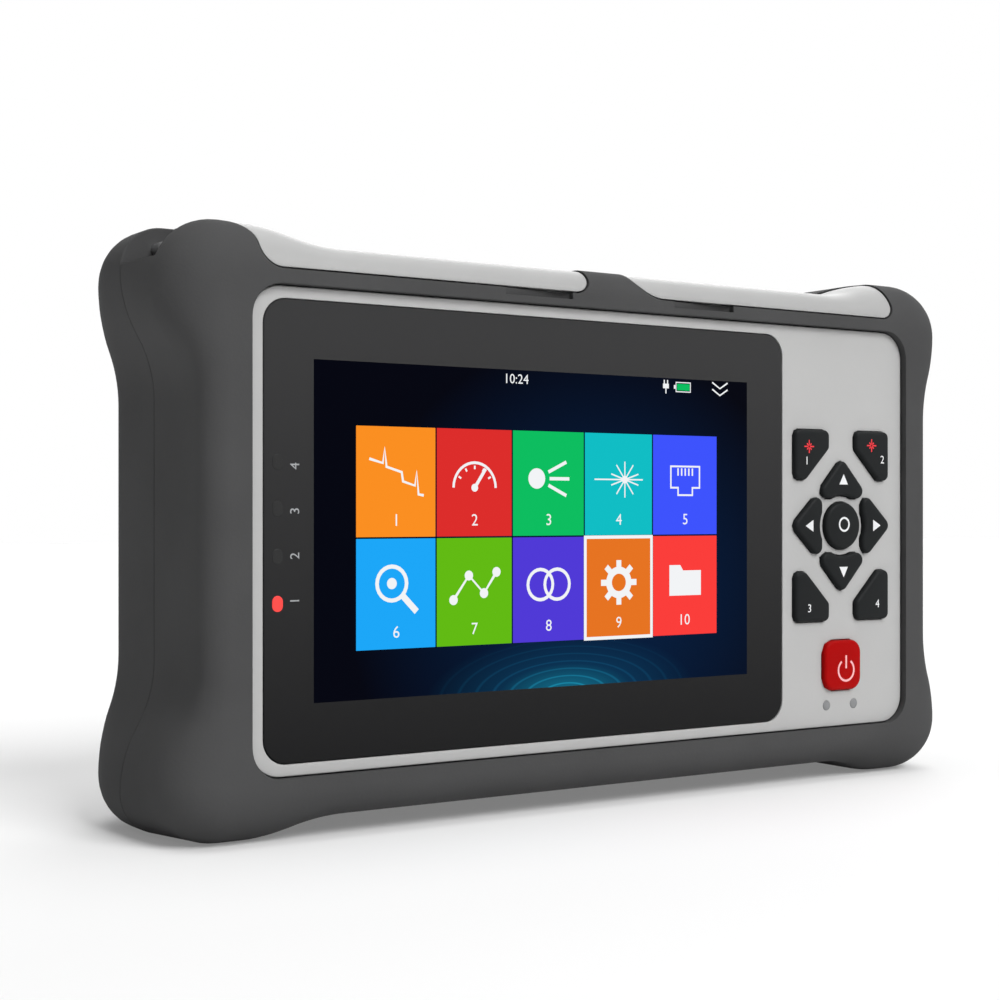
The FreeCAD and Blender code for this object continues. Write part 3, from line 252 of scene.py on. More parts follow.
@dataclass(frozen=True)
class GlassFinish(Surface):
    """Tinted window: dark print behind clear glass, with a painted reflection that makes it paler towards its
    top edge.
    """

    name: str = "window_glass"
    # top and foot are the two ends of a painted reflection, paler at the top
    top: Colour = (0.036, 0.036, 0.036 * 1.02)
    foot: Colour = (0.008, 0.008, 0.008 * 1.06)
    half_height: float = 44.0
    smear_scale: float = 60.0

    def looks(self, tree: Tree, place: Socket) -> Inputs:
        """A gloss print with a painted reflection: it darkens from its top to its foot.

        Args:
            tree: The material's nodes.
            place: The place on the piece.

        Returns:
            Values and sockets, by the name of the input.
        """
        level = node(tree, "SeparateXYZ", {"Vector": place}).outputs["Z"]
        height = node(tree, "MapRange", {"Value": level, "From Min": (MIDDLE - self.half_height) * MM,
                                         "From Max": (MIDDLE + self.half_height) * MM})
        smear = node(tree, "TexNoise", {"Vector": place, "Scale": self.smear_scale})
        gloss = node(tree, "MapRange", {"Value": smear.outputs["Fac"], "To Min": 0.06, "To Max": 0.12})
        # Painted reflection: the base colour runs from the dark foot colour up to the paler top colour
        return {"Base Color": ramp(tree, height.outputs["Result"], ((0.0, self.foot), (1.0, self.top))),
                "Roughness": gloss.outputs["Result"], "Specular IOR Level": 0.1}


@dataclass(frozen=True)
class LitFinish(Surface):
    """One lit colour of the screen's picture, with the faint grid of its dots."""

    colour: Colour
    dot_scale: float = 9000.0
    dot_tone: float = 0.96

    def looks(self, tree: Tree, place: Socket) -> Inputs:
        """Light that is slightly uneven from dot to dot.

        Args:
            tree: The material's nodes.
            place: The place on the piece.

        Returns:
            Values and sockets, by the name of the input.
        """
        dots = node(tree, "TexNoise", {"Vector": place, "Scale": self.dot_scale}).outputs["Fac"]
        dim = tuple(channel * self.dot_tone for channel in self.colour)
        return {**SCREEN_FACE, "Emission Color": ramp(tree, dots, ((0.0, dim), (1.0, self.colour)))}


@dataclass(frozen=True)
class WallpaperFinish(Surface):
    """Dark blue screen background, hazy in its middle, with a teal glow and thin arcs at its foot."""

    name: str = "screen_background"
    glow_spot: Point = (-13.0, -34.0)
    glow_spread: Point = (34.0, 12.5)
    haze_spot: Point = (-4.0, -14.0)
    haze_spread: Point = (60.0, 54.0)
    night: Colour = (0.0004, 0.0008, 0.0045)
    haze: Colour = (0.0006, 0.0105, 0.042)
    glow: Colour = (0.005, 0.15, 0.22)
    shine: Colour = (0.001, 0.02, 0.04)
    ring_scale: float = 2.6
    ring_edge: float = 0.86
    ring_gain: float = 2.2

    def looks(self, tree: Tree, place: Socket) -> Inputs:
        """Light from two flattened radial glows and faint rings.

        Args:
            tree: The material's nodes.
            place: The place on the piece.

        Returns:
            Values and sockets, by the name of the input.
        """
        glow_stops = ((0.0, self.glow), (0.5, self.shine), (1.0, BLACK))
        haze_stops = ((0.0, self.haze), (0.3, self.haze), (1.0, self.night))
        flat, teal = self.radial(tree, place, self.glow_spot, self.glow_spread, glow_stops)
        blue = self.radial(tree, place, self.haze_spot, self.haze_spread, haze_stops)[1]
        rings = node(tree, "TexWave", {"Vector": flat, "Scale": self.ring_scale}, wave_type="RINGS",
                     rings_direction="Y")
        line = ramp(tree, rings.outputs["Fac"], ((self.ring_edge, WHITE), (1.0, (self.ring_gain,) * 3)))
        lined = self.blend(tree, "MULTIPLY", teal, line)
        return {**SCREEN_FACE, "Emission Color": self.blend(tree, "ADD", lined, blue)}

    @staticmethod
    def radial(tree: Tree, place: Socket, spot: Point, spread: Point,
               stops: Sequence[tuple[float, Colour]]) -> tuple[Socket, Socket]:
        """An oval of colour that changes from its middle outwards.

        Args:
            tree: The material's nodes.
            place: The place on the piece.
            spot: Its middle, as (x, level).
            spread: Its half width and half height.
            stops: The colours, each with its share of the way out.

        Returns:
            The flattened coordinate and the colour.
        """
        across, up = (1 / (size * MM) for size in spread)
        centre = node(tree, "Mapping", {
            "Vector": place, "Scale": (across, 0.0, up),
            "Location": (-spot[0] * MM * across, 0.0, -(MIDDLE + spot[1]) * MM * up)}).outputs["Vector"]
        reach = node(tree, "VectorMath", {0: centre}, operation="LENGTH")
        return centre, ramp(tree, reach.outputs["Value"], stops)

    @staticmethod
    def blend(tree: Tree, kind: str, first: Socket, second: Socket) -> Socket:
        """Two colours added or multiplied."""
        return node(tree, "Mix", {0: 1.0, 6: first, 7: second}, data_type="RGBA", blend_type=kind).outputs[2]


# Outlines


def arc(centre: Point, radius: float, start: float, end: float, chords: int) -> list[Point]:
    """Points on an arc, from one angle to another in degrees."""
    angles = [math.radians(start + (end - start) * step / chords) for step in range(chords + 1)]
    return [(centre[0] + radius * math.cos(angle), centre[1] + radius * math.sin(angle)) for angle in angles]


def circle(centre: Point, radius: float) -> list[Point]:
    """Outline of a small circle."""
    return arc(centre, radius, 0, 345, 23)


def rectangle(x: Point, level: Point) -> list[Point]:
    """Outline of a rectangle between two pairs of limits."""
    return [(x[0], level[0]), (x[1], level[0]), (x[1], level[1]), (x[0], level[1])]


def round_rectangle(centre: Point, width: float, height: float, radius: float,
                    chords: int = 8) -> list[Point]:
    """Outline of a rectangle with round corners.

    Args:
        centre: Its middle.
        width: Its width.
        height: Its height.
        radius: The radius at each corner.
        chords: How many chords turn a corner.

    Returns:
        The outline's points.
    """
    points = []
    for turn, (sx, sz) in enumerate(CORNER_SIGNS):
        corner = (centre[0] + sx * (width / 2 - radius), centre[1] + sz * (height / 2 - radius))
        points += arc(corner, radius, 90 * turn, 90 * turn + 90, chords)
    return points


def soft_corners(points: Sequence[Point], radius: float, margin: float, chords: int = 8) -> list[Point]:
    """Outline through some corners, each turned on a radius, and grown by a margin.

    Args:
        points: The corners, in order.
        radius: The radius at each corner.
        margin: How far the outline grows.
        chords: How many chords turn a corner.

    Returns:
        The outline's points.
    """
    outline: list[Point] = []
    for index, point in enumerate(points):
        corner = Vector(point)
        before = (Vector(points[index - 1]) - corner).normalized()
        after = (Vector(points[(index + 1) % len(points)]) - corner).normalized()
        inward = (before + after).normalized()
        centre = corner + inward * (radius / math.sin(before.angle(after) / 2))
        start, end = ((way * way.dot(inward) - inward).normalized() for way in (before, after))
        turn = start.angle_signed(end)
        for step in range(chords + 1):
            arm = Matrix.Rotation(-turn * step / chords, 2) @ start
            outline.append(tuple(centre + arm * (radius + margin)))
    return outline


# Meshes


def metres(x: float, y: float, level: float) -> Vector:
    """A place given in millimetres, its height from the middle of the body, in metres."""
    return Vector((x * MM, y * MM, (MIDDLE + level) * MM))


def link(made: Piece) -> Piece:
    """Puts a new object in the scene."""
    bpy.context.scene.collection.objects.link(made)
    return made


def mesh_of(piece: Piece) -> bpy.types.Mesh:
    """The mesh of a piece with its modifiers, or of a text."""
    bpy.context.view_layer.update()
    return bpy.data.meshes.new_from_object(piece.evaluated_get(bpy.context.evaluated_depsgraph_get()))


def piece_from(name: str, points: Sequence[Vector], faces: Sequence[Sequence[int]]) -> Piece:
    """A mesh object in the scene.

    Args:
        name: The object's name.
        points: Its vertices, in metres.
        faces: Its faces, as vertex numbers.

    Returns:
        The object.
    """
    mesh = bpy.data.meshes.new(name)
    mesh.from_pydata([tuple(point) for point in points], [], [tuple(face) for face in faces])
    mesh.update()
    return link(bpy.data.objects.new(name, mesh))


def loft(name: str, rings: Sequence[Ring]) -> Piece:
    """A closed solid through rings of equal count, with a flat face at each end.

    Args:
        name: The object's name.
        rings: The rings, in order.

    Returns:
        The solid, its faces turned outwards.
    """
    count, last = len(rings[0]), (len(rings) - 1) * len(rings[0])
    faces = [list(range(count)), list(range(last, last + count))]
    for low in range(0, last, count):
        for index in range(count):
            after = (index + 1) % count
            faces.append([low + index, low + after, low + count + after, low + count + index])
    made = piece_from(name, [point for ring in rings for point in ring], faces)
    work = bmesh.new()
    work.from_mesh(made.data)
    bmesh.ops.recalc_face_normals(work, faces=work.faces)
    work.to_mesh(made.data)
    work.free()
    return made


def ring_y(outline: Iterable[Point], y: float) -> Ring:
    """An outline of (x, level) points at depth y."""
    return [metres(x, y, level) for x, level in outline]


def prism_y(name: str, outline: Sequence[Point], y0: float, y1: float) -> Piece:
    """A prism along Y from an outline of (x, level) points."""
    return loft(name, [ring_y(outline, y0), ring_y(outline, y1)])


def prism_z(name: str, plan: Sequence[Point], level0: float, level1: float) -> Piece:
    """A prism along Z from a plan of (x, y) points."""
    return loft(name, [[metres(x, y, level) for x, y in plan] for level in (level0, level1)])


def block(name: str, x: Point, y: Point, level: Point) -> Piece:
    """A box between pairs of limits along X, Y and height."""
    return prism_y(name, rectangle(x, level), *y)


def turned(name: str, spot: Vector, axis: Vector, profile: Sequence[Point], chords: int = 48) -> Piece:
    """A turned solid from a profile of (radius, distance along the axis) points, in millimetres.

    Args:
        name: The object's name.
        spot: Where the profile's distances start, in metres.
        axis: The direction of the axis.
        profile: The profile's points, from one end to the other.
        chords: How many flats make a full turn.

    Returns:
        The solid, closed at both ends.
    """
    side = axis.orthogonal().normalized()
    other = axis.cross(side)
    angles = [2 * math.pi * index / chords for index in range(chords)]
    arms = [side * math.cos(angle) + other * math.sin(angle) for angle in angles]
    rings = [[spot + (arm * radius + axis * along) * MM for arm in arms] for radius, along in profile]
    return loft(name, rings)


def rod(spot: Vector, axis: Vector, radius: float, length: float, chords: int) -> Piece:
    """A plain rod, which stands for a barrel or a bore."""
    return turned("rod", spot, axis, [(radius, 0), (radius, length)], chords)


def settle(piece: Piece) -> None:
    """Applies the modifiers of a piece to its mesh.

    Args:
        piece: The piece.
    """
    mesh = mesh_of(piece)
    piece.modifiers.clear()
    piece.data = mesh


def change(piece: Piece, cut: Cut, *cutters: Piece) -> None:
    """Cuts, joins or trims a piece with other solids in turn, which are used up.

    Args:
        piece: The solid that changes.
        cut: What is done.
        cutters: The other solids.
    """
    for cutter in cutters:
        step = piece.modifiers.new("cut", "BOOLEAN")
        step.operation, step.solver, step.object = cut.value, "EXACT", cutter
        settle(piece)
        bpy.data.objects.remove(cutter)


def smooth(piece: Piece, sharp_angle: float = 32.0) -> None:
    """Shades a piece smoothly, except over edges sharper than an angle in degrees."""
    piece.data.polygons.foreach_set("use_smooth", [True] * len(piece.data.polygons))
    piece.data.set_sharp_from_angle(angle=math.radians(sharp_angle))


def level_shading(piece: Piece, weight: int = 80) -> None:
    """Keeps the wide faces of a smooth piece flat in shading, right up to their rounded edges.

    Args:
        piece: The piece.
        weight: How much more a wide face counts than a narrow one.
    """
    step = piece.modifiers.new("normals", "WEIGHTED_NORMAL")
    step.mode, step.weight, step.keep_sharp = "FACE_AREA", weight, True
    settle(piece)


def soften(piece: Piece, width: float, segments: int = 2, limit: float = 40.0) -> None:
    """Rounds the sharp edges of a piece.

    Args:
        piece: The piece.
        width: The width of the rounding, in millimetres.
        segments: How many faces the rounding takes.
        limit: The least angle of an edge that is rounded, in degrees.
    """
    step = piece.modifiers.new("edge", "BEVEL")
    step.width, step.segments, step.use_clamp_overlap = width * MM, segments, True
    step.limit_method, step.angle_limit = "ANGLE", math.radians(limit)
    settle(piece)


def dress(piece: Piece, body: str, finish: Surface, slot: str, *nodes: str) -> None:
    """Gives a piece its finish and its place on the moving parts.

    Args:
        piece: The piece.
        body: The body that it rides on.
        finish: Its finish.
        slot: The record's material slot. It is not used.
        nodes: The CAD nodes that it stands for.
    """
    piece.data.materials.clear()
    piece.data.materials.append(finish.material())
    if nodes:
        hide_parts(*nodes)
    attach(piece, body)
    log.info("%s rides on %s", piece.name, body)


# Body


@dataclass
class BodyForm:
    """The waisted form of the rubber jackets, which the port covers continue."""

    half_width: float = 100.7
    half_height: float = 58.4
    half_depth: float = 25.0
    waist: float = 93.8
    waist_level: float = 25.0
    flat: float = 54.5
    flare: float = 63.0
    corner: float = 12.5
    tight_corner: float = 8.5
    hump_start: float = 83.2
    front_rounds: tuple[float, float, float, float] = (5.0, 6.3, 11.0, 11.0)
    rear_rounds: tuple[float, float, float, float] = (8.0, 8.0, 11.5, 19.0)
    lip: float = 0.25
    rim_steps: int = 14
    ogee_chords: int = 7
    corner_chords: int = 14

    @staticmethod
    def rim_inset(depth: float, radius: float) -> float:
        """How far a round rim is drawn in at a depth below the face."""
        return radius - math.sqrt(radius ** 2 - (radius - depth) ** 2) if depth < radius else 0.0

    def ogee(self, start: Point, end: Point, upright: bool) -> list[Point]:
        """Points of two equal arcs that join two points in an S.

        Args:
            start: The first point.
            end: The last point.
            upright: Whether the S leaves both points along Z, or else along X.

        Returns:
            The points, the last one left out.
        """
        along, aside = (1, 0) if upright else (0, 1)
        run, rise = end[along] - start[along], end[aside] - start[aside]
        radius = (run ** 2 + rise ** 2) / (4 * abs(rise)) if abs(rise) > 0.01 else 0.0
        points = []
        for step in range(2 * self.ogee_chords):
            lift = share = step / (2 * self.ogee_chords)
            if radius:
                part = min(share, 1 - share) * abs(run)
                drop = (radius - math.sqrt(radius ** 2 - part ** 2)) / abs(rise)
                lift = drop if share < 0.5 else 1 - drop
            spot = [0.0, 0.0]
            spot[along], spot[aside] = start[along] + run * share, start[aside] + rise * lift
            points.append((spot[0], spot[1]))
        return points

    def outline(self, side: float, flat: float, drawn: float, corner: float) -> list[Point]:
        """Outline of the body: waists and flats that swell into round corner humps.

        Args:
            side: Half width at the waist.
            flat: Half height at the flats.
            drawn: How far the corner humps are drawn in.
            corner: Radius of the corner humps.

        Returns:
            The outline's points, the same count for any sizes.
        """
        cx, cz = self.half_width - drawn - corner, self.half_height - drawn - corner
        quarter = [(side, 0.0), *self.ogee((side, self.waist_level), (cx + corner, cz), True),
                   *arc((cx, cz), corner, 0, 90, self.corner_chords),
                   *self.ogee((self.hump_start, cz + corner), (self.flare, flat), False),
                   (self.flare, flat), (0.0, flat)]
        points: list[Point] = []
        for sx, sz in CORNER_SIGNS:
            part = [(sx * x, sz * z) for x, z in quarter]
            points += part[:-1] if sx == sz else part[::-1][:-1]
        return points

    def rings(self, facing: Facing, inset: float, lip: float = 0.0) -> list[Ring]:
        """Rings of one half, from its face to the parting plane.

        Args:
            facing: The half.
            inset: How far the form is drawn in all round.
            lip: The bevel at the parting plane.

        Returns:
            The rings, finely spaced round the rim.
        """
        sizes = self.front_rounds if facing is Facing.FRONT else self.rear_rounds
        side_round, flat_round, corner_round, reach = (size - inset for size in sizes)
        full = self.half_depth - inset
        shares = [1 - math.cos(math.pi / 2 * step / self.rim_steps) for step in range(self.rim_steps + 1)]
        stops = [(reach * share, corner_round * self.rim_inset(share, 1.0), 0.0) for share in shares]
        stops += [(full - lip, 0.0, 0.0), (full, 0.0, lip)] if lip else [(full, 0.0, 0.0)]
        rings = []
        for depth, drawn, bevel in stops:
            side = self.waist - inset - bevel - self.rim_inset(depth, side_round)
            flat = self.flat - inset - bevel - self.rim_inset(depth, flat_round)
            behind = max(depth - reach, 0.0) / (full - reach) if facing is Facing.FRONT else 1.0
            widest = self.corner + (self.tight_corner - self.corner) * behind
            corner = min(widest, self.corner - drawn) - inset - bevel
            outline = self.outline(side, flat, inset + bevel + drawn, corner)
            rings.append(ring_y(outline, facing.value * (full - depth)))
        return rings

    def half(self, name: str, facing: Facing) -> Piece:
        """One half of the form as a solid, bevelled at the parting plane."""
        return loft(name, self.rings(facing, 0.0, self.lip))

    def whole(self, name: str, inset: float) -> Piece:
        """Both halves of the form as one solid."""
        return loft(name, self.rings(Facing.FRONT, inset) + self.rings(Facing.REAR, inset)[::-1][1:])


@dataclass
class Cases:
    """Outside of the two hard cases, which the jackets sit on."""

    half_width: float = 90.6
    half_height: float = 52.3
    corner: float = 9.0
    bevel: float = 2.0
    face: float = 21.8
    overlap: float = 0.01
    panel_width: float = 169.2
    panel_height: float = 91.4
    panel_corner: float = 6.0
    panel_gap: float = 0.35
    panel_reach: float = 26.0

    def core(self, facing: Facing, grow: float) -> Piece:
        """The space of one case, from its face to the parting plane.

        Args:
            facing: The half.
            grow: How much larger the space is all round.

        Returns:
            The space as a solid.
        """
        sign, face = facing.value, self.face + grow
        corners = rectangle((-self.half_width, self.half_width), (-self.half_height, self.half_height))
        stops = ((sign * face, grow - self.bevel), (sign * (face - self.bevel), grow),
                 (-sign * self.overlap, grow))
        rings = [ring_y(soft_corners(corners, self.corner, size, 6), y) for y, size in stops]
        return loft("case_core", rings)

    def opening(self, facing: Facing) -> Piece:
        """The panel opening of one jacket.

        Args:
            facing: The half.

        Returns:
            The opening as a solid.
        """
        width, height = (size + 2 * self.panel_gap for size in (self.panel_width, self.panel_height))
        outline = round_rectangle((0, 0), width, height, self.panel_corner + self.panel_gap, 10)
        near, far = (facing.value * depth for depth in (self.face - 1, self.panel_reach))
        return prism_y("panel_opening", outline, near, far)


@dataclass
class CoverPlan:
    """Plan and front view of one port cover."""

    ends: Point
    foot: float
    flare: float
    hinge: Point
    lower_edge: float = 49.2
    end_round: float = 3.4
    hinge_depth: float = 2.0
    hinge_level: float = 52.9
    barrel: float = 1.6
    lug_width: float = 4.0
    side_gap: float = 0.3
    lug_clearance: float = 0.4
    step: float = -4.5
    sweep: float = -14.0
    ceiling: float = 60.0
    front: float = -26.0
    rear: float = 24.0

    def outline(self, gap: float) -> list[Point]:
        """Front view: the left end curves up, and out again if it has a flare. The right end is round.

        Args:
            gap: How much larger it is all round.

        Returns:
            The outline's points.
        """
        left, right = self.ends
        level = self.lower_edge + self.foot
        end = (right - self.end_round, self.lower_edge + self.end_round)
        points = [(left - (0 if self.flare else gap), self.ceiling)]
        if self.flare:
            points += arc((left, level), self.flare - gap, 90, 0, 10)[:-1]
        points += arc((left + self.flare + self.foot, level), self.foot + gap, 180, 270, 12)
        points += arc(end, self.end_round + gap, 270, 360, 8)
        return points + [(right + gap, self.ceiling)]

    def plan(self, gap: float, swing: float) -> list[Point]:
        """Top view: full depth along the hinge, and stepped back where the cover climbs a corner hump.

        Args:
            gap: How much larger it is at its ends.
            swing: How much larger it is at its rear.

        Returns:
            The plan's points.
        """
        out = 1 if self.ends[0] > 0 else -1
        near, far = sorted(self.hinge, key=abs)
        inner, tip = sorted(self.ends, key=abs)
        reach = self.lug_width + self.side_gap + gap
        step, rear = self.step + swing, self.hinge_depth + self.barrel + swing
        turns = ((inner - out * gap, self.front, step), (near - out * reach, step, rear),
                 (far + out * reach, rear, step), (tip + out * gap, self.sweep + swing, self.front))
        return [(x, y) for x, *depths in turns for y in depths]

    def region(self, gap: float, swing: float) -> Piece:
        """The space of the cover, or of its recess when gaps are added.

        Args:
            gap: How much larger it is at its ends and foot.
            swing: How much larger it is at its rear.

        Returns:
            The space as a solid.
        """
        space = prism_y("cover_space", self.outline(gap), self.front, self.rear)
        change(space, Cut.SHARED, prism_z("cover_plan", self.plan(gap, swing), 0.0, self.ceiling + 1))
        return space


OPTICAL_PLAN = CoverPlan(ends=(-87.6, -7.8), foot=4.2, flare=5.0, hinge=(-61.0, -12.5))
AUX_PLAN = CoverPlan(ends=(3.0, 81.1), foot=8.9, flare=0.0, hinge=(13.5, 61.0))


@dataclass
class Jackets:
    """The two rubber jackets, with the strap slots at the upper corners."""

    form: BodyForm = field(default_factory=BodyForm)
    cases: Cases = field(default_factory=Cases)
    cover_gap: float = 0.35
    swing_gap: float = 1.0
    slot_sides: Point = (89.7, 102.0)
    slot_width: float = 14.5
    slot_levels: Point = (50.8, 60.0)
    bar_side: float = 93.2
    bar_level: float = 54.1
    bar_radius: float = 1.2
    bar_seat: float = 2.5
    notch_starts: tuple[float, float] = (-29.1, 14.5)
    notch_width: float = 16.7
    notch_height: float = 1.7
    notch_depth: float = 1.8

    def notch(self, start: float) -> Piece:
        """The finger notch under the front edge of one cover.

        Args:
            start: Where its shallow end lies.

        Returns:
            Its space as a solid.
        """
        front, edge = -self.form.half_depth, OPTICAL_PLAN.lower_edge
        tip = start + self.notch_width
        plan = [(start, front - 1), (start, front + 0.5), (tip - self.notch_depth, front + self.notch_depth),
                (tip, front + self.notch_depth * 0.7), (tip, front - 1)]
        return prism_z("finger_notch", plan, edge - self.notch_height, edge + self.cover_gap)

    def slot(self, side: int) -> Piece:
        """The strap slot behind one front hump.

        Args:
            side: The sign of its side.

        Returns:
            Its space as a solid.
        """
        (x0, x1), (floor, ceiling) = sorted(side * x for x in self.slot_sides), self.slot_levels
        outline = [(x0, ceiling), (x0, floor), (x1, floor), (x1, ceiling)]
        return prism_y("strap_slot", outline, -self.slot_width, 0.0)

    def jacket(self, name: str, facing: Facing, stands_for: str, *cuts: Piece) -> None:
        """One jacket.

        Args:
            name: Its name.
            facing: The half.
            stands_for: Its CAD node.
            cuts: The spaces that it leaves besides the case, the panel and the covers.
        """
        made = self.form.half(name, facing)
        covers = [plan.region(self.cover_gap, self.swing_gap) for plan in (OPTICAL_PLAN, AUX_PLAN)]
        change(made, Cut.AWAY, self.cases.core(facing, 0), self.cases.opening(facing), *covers, *cuts)
        smooth(made)
        dress(made, "housing", RUBBER, "black_rubber", stands_for)

    def build(self) -> None:
        """Both jackets and the two steel strap bars."""
        cuts = [*map(self.notch, self.notch_starts), *map(self.slot, (-1, 1))]
        self.jacket("front_jacket", Facing.FRONT, "front_bumper", *cuts)
        self.jacket("rear_jacket", Facing.REAR, "rear_bumper")
        for side, name in ((-1, "left_strap_bar"), (1, "right_strap_bar")):
            spot = metres(side * self.bar_side, -self.slot_width - self.bar_seat, self.bar_level)
            made = rod(spot, ALONG_Y, self.bar_radius, self.slot_width + 2 * self.bar_seat, 24)
            made.name = name
            smooth(made)
            dress(made, "housing", STEEL, "steel", "strap_bars")


@dataclass
class PortCover:
    """One hinged cover over the ports: a thin shell that continues the form of the jackets."""

    name: str
    body: str
    plan: CoverPlan
    form: BodyForm = field(default_factory=BodyForm)
    cases: Cases = field(default_factory=Cases)
    sink: float = 0.3
    wall: float = 2.0
    clearance: float = 0.15
    bore: float = 0.85
    bore_reach: float = 9.0
    hollow_reach: float = 4.0
    room_depth: float = 52.0
    room_level: float = 62.0
    trim: tuple[Point, float, Point] = ((-110.0, 110.0), 30.0, (-60.0, 62.0))

    def build(self) -> None:
        """The cover with its barrel."""
        plan, (start, end) = self.plan, self.plan.hinge
        made = self.form.whole(self.name + "_shell", self.sink)
        change(made, Cut.SHARED, plan.region(0.0, 0.0))
        hollow_front = -self.form.half_depth + self.sink + self.form.front_rounds[1]
        hollow = block("hollow", (start - self.hollow_reach, end + self.hollow_reach),
                       (hollow_front, plan.hinge_depth - plan.barrel - 1),
                       (self.cases.half_height - 1, self.form.flat - self.sink - self.wall))
        width, depth, levels = self.trim
        change(made, Cut.AWAY, hollow, self.cases.core(Facing.FRONT, self.clearance),
               self.cases.core(Facing.REAR, self.clearance),
               block("rear_trim", width, (plan.hinge_depth, depth), levels))
        barrel = rod(metres(start + plan.side_gap, plan.hinge_depth, plan.hinge_level), ALONG_X, plan.barrel,
                     end - start - 2 * plan.side_gap, 40)
        change(made, Cut.JOINED, barrel)
        bore = rod(metres(start - self.bore_reach, plan.hinge_depth, plan.hinge_level), ALONG_X, self.bore,
                   end - start + 2 * self.bore_reach, 24)
        depths = (plan.hinge_depth - plan.barrel - plan.lug_clearance, self.room_depth)
        levels = (plan.hinge_level - 2 * plan.barrel, self.room_level)
        lugs = [block("lug_room", (x - plan.side_gap, x + plan.lug_width + plan.side_gap), depths, levels)
                for x in (start - plan.lug_width, end)]
        change(made, Cut.AWAY, bore, *lugs)
        smooth(made)
        dress(made, self.body, COVER, "cover_grey", self.name)


# Panels and what shows through them


@dataclass
class KeptNodes:
    """CAD pieces whose shape is right: they keep it and get a finish, some with softened edges."""

    plain: tuple[tuple[Finish, tuple[str, ...]], ...] = (
        (SILICONE, ("case_seal", "keypad_mat")),
        (STEEL, ("lcd_bracket", "key_domes", "optical_hinge_pin", "aux_hinge_pin", "stand_pin")),
        (BLACK_GLASS, ("lcd_module",)),
        (BOARD, ("indicator_board", "keypad_board", "main_board", "port_board")),
        (ALLOY, ("optics_module", "power_meter_detector", "fault_light_laser")),
        (WRAP, ("battery_pack",)),
    )
    softened: tuple[tuple[str, str, Finish, str, float], ...] = (
        ("front_case", "housing", PANEL, "panel_grey", 0.25),
        ("rear_case", "housing", PANEL, "panel_grey", 0.3),
        ("port_tray", "housing", TRAY, "tray_grey", 0.2),
        ("stand", "rear_stand", PANEL, "panel_grey", 0.35),
        ("dc_jack", "housing", SOCKET, "socket_black", 0.15),
        ("lan_socket", "housing", SOCKET, "socket_black", 0.12),
        ("usb_socket", "housing", STEEL, "steel", 0.1),
    )
    same_spot: float = 0.000002
    flat_angle: float = 0.6

    def build(self) -> None:
        """Finishes on the plain pieces, and softened copies of the others."""
        for finish, names in self.plain:
            for name in names:
                self.coat(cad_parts[name], finish)
        for name, body, finish, slot, width in self.softened:
            made = self.copy(name)
            soften(made, width)
            smooth(made)
            level_shading(made)
            dress(made, body, finish, slot, name)

    @staticmethod
    def coat(piece: Piece, finish: Finish) -> None:
        """Puts a finish on every material slot of a CAD piece.

        Args:
            piece: The piece.
            finish: The finish.
        """
        if not piece.material_slots:
            piece.data.materials.append(None)
        for slot in piece.material_slots:
            slot.material = finish.material()

    def copy(self, name: str) -> Piece:
        """A copy of a CAD piece with the edges inside its flat faces removed.

        Args:
            name: The CAD node.

        Returns:
            The copy.
        """
        work = bmesh.new()
        work.from_mesh(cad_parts[name].data)
        bmesh.ops.remove_doubles(work, verts=work.verts, dist=self.same_spot)
        bmesh.ops.dissolve_limit(work, angle_limit=math.radians(self.flat_angle), verts=work.verts,
                                 edges=work.edges)
        mesh = bpy.data.meshes.new(name + "_soft")
        work.to_mesh(mesh)
        work.free()
        return link(bpy.data.objects.new(name + "_soft", mesh))


@dataclass
class Window:
    """Dark glass window over the screen, and the row of indicator lights in its left border."""

    centre: float = -17.6
    size: Point = (129.0, 86.9)
    corner: float = 4.75
    thickness: float = 1.5
    edge: float = 0.25
    light_side: float = -79.15
    light_levels: tuple[float, ...] = (-13.5, -4.7, 4.2, 12.9)
    light_size: Point = (2.2, 3.0)
    light_corner: float = 1.08
    light_edge: float = 0.3
    light_proud: float = 0.05

    def plate(self, name: str, centre: Point, size: Point, corner: float, edge: float, proud: float,
              chords: int) -> Piece:
        """A plate of the window's thickness with round corners and a bevelled front edge.

        Args:
            name: Its name.
            centre: Its middle, as (x, level).
            size: Its width and height.
            corner: The radius of its corners.
            edge: The width of the bevel.
            proud: How far it stands proud of the panel.
            chords: How many chords turn a corner.

        Returns:
            The plate.
        """
        rings = []
        for depth, inset in ((-proud, edge), (0.0 if proud else edge, 0.0), (self.thickness, 0.0)):
            width, height = (length - 2 * inset for length in size)
            outline = round_rectangle(centre, width, height, corner - inset, chords)
            rings.append(ring_y(outline, PANEL_FACE + depth))
        made = loft(name, rings)
        smooth(made)
        return made

    def build(self) -> None:
        """The window, and the four oval light guides, the lowest one lit."""
        made = self.plate("front_window", (self.centre, 0), self.size, self.corner, self.edge, 0.0, 10)
        dress(made, "housing", GlassFinish(), "lens_glass", "screen_lens")
        for index, level in enumerate(self.light_levels):
            made = self.plate(f"indicator_light_{index + 1}", (self.light_side, level), self.light_size,
                              self.light_corner, self.light_edge, self.light_proud, 6)
            dress(made, "housing", DARK_GUIDE if index else LIT_RED, "light_guide", "indicator_lights")


